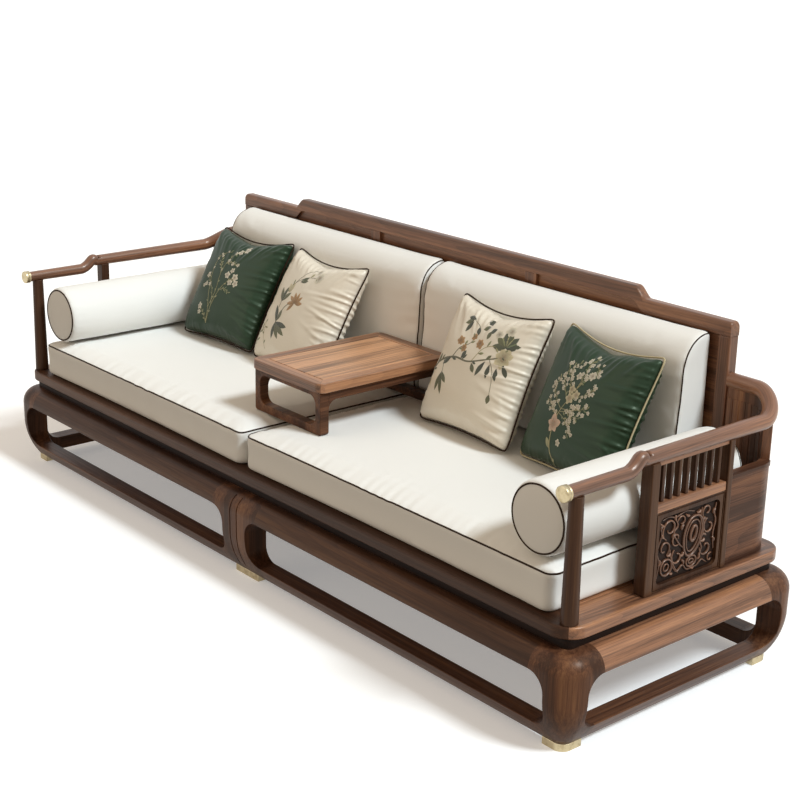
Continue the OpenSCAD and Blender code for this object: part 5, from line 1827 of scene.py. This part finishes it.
class SOFA_OT_pillows(bpy.types.Operator):
    """Makes the four throw pillows with their piping and needlework"""

    bl_idname = "sofa.pillows"
    bl_label = "Throw pillows"

    def execute(self, context):
        cloth = settings().cloth
        corners = (-1, -1), (1, -1), (1, 1), (-1, 1), (-1, -1)
        for seed, name in enumerate(POSES, 3):
            green = name.startswith("green")
            made = self.form("pillow_form_" + name, "bottle_satin" if green else "pale_satin")
            self.pucker(made, seed)
            surface = tree_over(made)
            place = pillow_place(name)
            body = "pillow_" + name
            work = Needlework(seed)
            LAYOUTS[name](work)
            work.sew("needlework_" + name, surface, place, body)
            seam = []
            for q, (a, b) in enumerate(zip(corners, corners[1:])):
                for t in np.linspace(0, 1, 40, endpoint=False):
                    u, v = a[0] + (b[0] - a[0]) * t, a[1] + (b[1] - a[1]) * t
                    p = rounded(pillow_point(u, v, 0, inset=1 * MM), u, v)
                    p[1] = 0.8 * MM * math.sin(9 * t + q + seed)
                    seam.append(tuple(p))
            path = evened(seam, True, 5 * MM)
            piping = rod("piping_" + name, [([place @ Vector(p) for p in path], True)],
                         cloth.piping_radius,
                         "gold_piping" if name == "green_right" else "dark_piping")
            made.data.transform(place)
            done(made, body, "green_satin" if green else "cream_satin", body)
            done(piping, body, "green_satin" if name == "green_right" else "dark_wood")
        return {"FINISHED"}

    def form(self, name, material):
        """An upright pillow, before its folds."""
        cloth = settings().cloth
        n = 41
        steps = [math.sin(math.pi / 2 * (2 * i / (n - 1) - 1)) for i in range(n)]
        points = [rounded(pillow_point(u, v, side, PILLOW_THICK - 6 * MM, 2 * MM, 0.36), u, v)
                  for side in (1, -1) for u in steps for v in steps]
        faces = []
        for i in range(n - 1):
            for j in range(n - 1):
                a = i * n + j
                faces.append((a, a + n, a + n + 1, a + 1))
                b = a + n * n
                faces.append((b, b + 1, b + n + 1, b + n))
        rim = [*range(n - 1), *(i * n + n - 1 for i in range(n - 1)),
               *((n - 1) * n + j for j in range(n - 1, 0, -1)),
               *(i * n for i in range(n - 1, 0, -1))]
        for a, b in zip(rim, rim[1:] + rim[:1]):
            faces.append((a, b, b + n * n, a + n * n))
        return stuffed(name, points, faces, cloth.net * 0.58, cloth.swell * 0.9, material)

    def pucker(self, obj, seed):
        """Folds that run in from the seams, a pinch in the top edge and a few soft dents."""
        depth = settings().cloth.pucker
        x, _, z = points_of(obj.data).T
        u, v = x / PILLOW_HALF, z / PILLOW_HALF
        chance = np.random.default_rng(seed * 17)
        move = np.zeros(len(x))
        for side in (-1, 1):
            half = np.where(points_of(obj.data)[:, 1] * side < 0, 1.0, 0.0)
            for foot, angle, long, wide, deep in self.folds(chance):
                a = math.radians(angle)
                run = (u - foot[0]) * math.cos(a) + (v - foot[1]) * math.sin(a)
                off = (v - foot[1]) * math.cos(a) - (u - foot[0]) * math.sin(a)
                off = (off + 0.1 * run * run * math.sin(foot[1] * 9)) / (wide * (1 + run))
                shape = np.exp(-off * off) * (1 - 1.1 * off * off)
                fade = smooth(np.clip(run / 0.12, 0, 1)) * np.clip(1 - run / long, 0, 1)
                move += half * shape * fade * deep
        dent = np.exp(-((u / 0.3) ** 2 + ((v - 0.78) / 0.28) ** 2))
        soft = waves(x + 0.5 * z, seed + 40, 0.15) * waves(z - 0.4 * x, seed + 41, 0.17)
        total = move * depth - dent * 7 * MM + soft * 2 * MM
        edge = np.clip(1 - np.maximum(np.abs(u), np.abs(v)) ** 30, 0, 1)
        push(obj, total * edge)

    def folds(self, chance):
        """Folds as foot, direction in degrees, length, width and depth, the half side being 1."""
        made = []
        for v in np.arange(-0.92, 0.95, 0.105):
            v = v + chance.uniform(-0.03, 0.03)
            long = chance.uniform(0.35, 1.05) if v < 0.45 else chance.uniform(0.2, 0.5)
            made.append(((0.985, v), 180 + chance.uniform(-14, 10) + 16 * v, long,
                         chance.uniform(0.024, 0.04), chance.uniform(0.4, 1.3)))
        for v in np.arange(-0.9, 0.95, 0.17):
            made.append(((-0.985, v + chance.uniform(-0.05, 0.05)),
                         chance.uniform(-10, 10) - 14 * v, chance.uniform(0.12, 0.36),
                         chance.uniform(0.024, 0.036), chance.uniform(0.25, 0.7)))
        for u in np.arange(-0.9, 0.95, 0.13):
            lean = -90 - 38 * math.copysign(abs(u) ** 0.5, u)
            made.append(((u + chance.uniform(-0.03, 0.03), 0.93 - 0.14 * (1 - u * u)),
                         lean + chance.uniform(-9, 9), chance.uniform(0.3, 0.75),
                         chance.uniform(0.028, 0.045), chance.uniform(0.4, 1.0)))
        for u in np.arange(-0.85, 0.9, 0.2):
            made.append(((u + chance.uniform(-0.06, 0.06), -0.98), 90 + chance.uniform(-16, 16)
                         + 20 * u, chance.uniform(0.1, 0.3), chance.uniform(0.024, 0.036),
                         chance.uniform(0.25, 0.6)))
        return made


class SOFA_OT_table(bpy.types.Operator):
    """Makes the low tea table with its inlaid top"""

    bl_idname = "sofa.table"
    bl_label = "Tea table"

    def execute(self, context):
        edge = settings().wood.edge
        eased("table_frame", edge * 1.5, "walnut_table_rim", "tea_table", segments=4)
        eased("table_panel", edge * 0.5, "walnut_table", "tea_table")
        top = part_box("table_frame")[0].z
        eased("table_legs", edge * 1.2, "walnut_table_foot", "tea_table",
              weigh=lambda a, b: 0.2 if (a.z + b.z) / 2 > top - 4 * MM else 1)
        eased("table_rails", edge * 0.9, "walnut_table_foot", "tea_table", turn=40, segments=2,
              weigh=lambda a, b: 0 if (a.z + b.z) / 2 > top - 4 * MM else 1)
        return {"FINISHED"}


class SOFA_OT_stage(bpy.types.Operator):
    """Makes the floor, lamps, sky and camera"""

    bl_idname = "sofa.stage"
    bl_label = "Stage"

    def execute(self, context):
        stage = settings().stage
        floor = put("floor", [(-30, -30, 0), (30, -30, 0), (30, 30, 0), (-30, 30, 0)],
                    [(0, 1, 2, 3)], smooth=False)
        floor.data.materials.append(self.floor_finish())
        self.lamp("main_lamp", (4.2, 1.2, 5.0), 14, stage.key, (0.86, 0.95, 1))
        self.lamp("fill_lamp", (-2.5, -5.0, 3.2), 40, stage.key * 0.12, (1, 0.84, 0.66))
        self.sky(context, stage)
        a, e, r = stage.azimuth, stage.elevation, stage.roll
        back = Vector((math.sin(a) * math.cos(e), -math.cos(a) * math.cos(e), math.sin(e)))
        right = Vector((0, 0, 1)).cross(back).normalized()
        up = back.cross(right)
        across = math.cos(r) * right + math.sin(r) * up
        above = -math.sin(r) * right + math.cos(r) * up
        data = bpy.data.cameras.new("camera")
        data.lens, data.sensor_width = stage.lens, 36
        data.clip_start, data.clip_end = 0.1, 100
        camera = placed("camera", data)
        turn = Matrix((across, above, back)).transposed().to_4x4()
        camera.matrix_world = Matrix.Translation(Vector(stage.place)) @ turn
        context.scene.camera = camera
        context.scene.view_settings.view_transform = "Standard"
        return {"FINISHED"}

    def lamp(self, name, place, spread, strength, colour):
        """A far lamp that shines from a place towards the middle of the sofa."""
        data = bpy.data.lights.new(name, "SUN")
        data.angle, data.energy, data.color = math.radians(spread), strength, colour
        lamp = placed(name, data)
        lamp.location = place
        lamp.rotation_euler = (-Vector(place)).to_track_quat("-Z", "Y").to_euler()

    def seen(self, graph):
        """1 where the ray comes from the camera or from a gloss, and 0 for all light."""
        rays = graph.node("ShaderNodeLightPath")
        camera, gloss = (Number(graph, rays.outputs[k])
                         for k in ("Is Camera Ray", "Is Glossy Ray"))
        return camera.math("MAXIMUM", gloss)

    def floor_finish(self):
        """Floor that is white to the eye, keeps the shadow and throws back little light."""
        material = bpy.data.materials.new("floor")
        material.use_nodes = True
        graph = Graph(material.node_tree)
        seen = self.seen(graph)
        plain, dim = (graph.first("ShaderNodeBsdfDiffuse", Color=colour)
                      for colour in ((0.84, 0.84, 0.84, 1), (0.22, 0.2, 0.18, 1)))
        face = graph.first("ShaderNodeMixShader", sockets={0: seen, 1: dim, 2: plain})
        glow = graph.first("ShaderNodeEmission", Color=(1, 1, 1, 1), Strength=seen * 0.28)
        both = graph.first("ShaderNodeAddShader", sockets={0: face, 1: glow})
        graph.node("ShaderNodeOutputMaterial", Surface=both)
        return material

    def sky(self, context, stage):
        """Warm light from all round, and white to the eye and in gloss."""
        world = bpy.data.worlds.new("sky")
        world.use_nodes = True
        graph = Graph(world.node_tree)
        light, white = (graph.first("ShaderNodeBackground", Color=colour, Strength=strength)
                        for colour, strength in (((1, 0.83, 0.64, 1), stage.sky),
                                                 ((1, 1, 1, 1), 1.0)))
        both = graph.first("ShaderNodeMixShader",
                           sockets={0: self.seen(graph), 1: light, 2: white})
        graph.node("ShaderNodeOutputWorld", Surface=both)
        context.scene.world = world


OPERATORS = (
    SOFA_OT_base, SOFA_OT_seat_frame, SOFA_OT_arms, SOFA_OT_carving, SOFA_OT_spindles,
    SOFA_OT_corners, SOFA_OT_back, SOFA_OT_seat_cushions, SOFA_OT_back_cushions,
    SOFA_OT_bolsters, SOFA_OT_pillows, SOFA_OT_table, SOFA_OT_stage,
)


class SOFA_PT_panel(bpy.types.Panel):
    """Lists the sofa's pieces and settings"""

    bl_idname = "SOFA_PT_panel"
    bl_label = "Sofa"
    bl_space_type = "VIEW_3D"
    bl_region_type = "UI"
    bl_category = "Sofa"

    def draw(self, context):
        for operator in OPERATORS:
            self.layout.operator(operator.bl_idname)
        for group in (settings().wood, settings().cloth, settings().stage):
            box = self.layout.box()
            for name in group.bl_rna.properties.keys():
                if name not in ("rna_type", "name"):
                    box.prop(group, name)


CLASSES = (WoodSettings, ClothSettings, StageSettings, SofaSettings, *OPERATORS, SOFA_PT_panel)


def register():
    for kind in CLASSES:
        bpy.utils.register_class(kind)
    bpy.types.Scene.sofa = PointerProperty(type=SofaSettings)


def unregister():
    del bpy.types.Scene.sofa
    for kind in reversed(CLASSES):
        bpy.utils.unregister_class(kind)


def main():
    register()
    for operator in OPERATORS:
        getattr(bpy.ops.sofa, operator.bl_idname.split(".")[1])()
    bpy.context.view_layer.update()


if __name__ == "__main__":
    main()
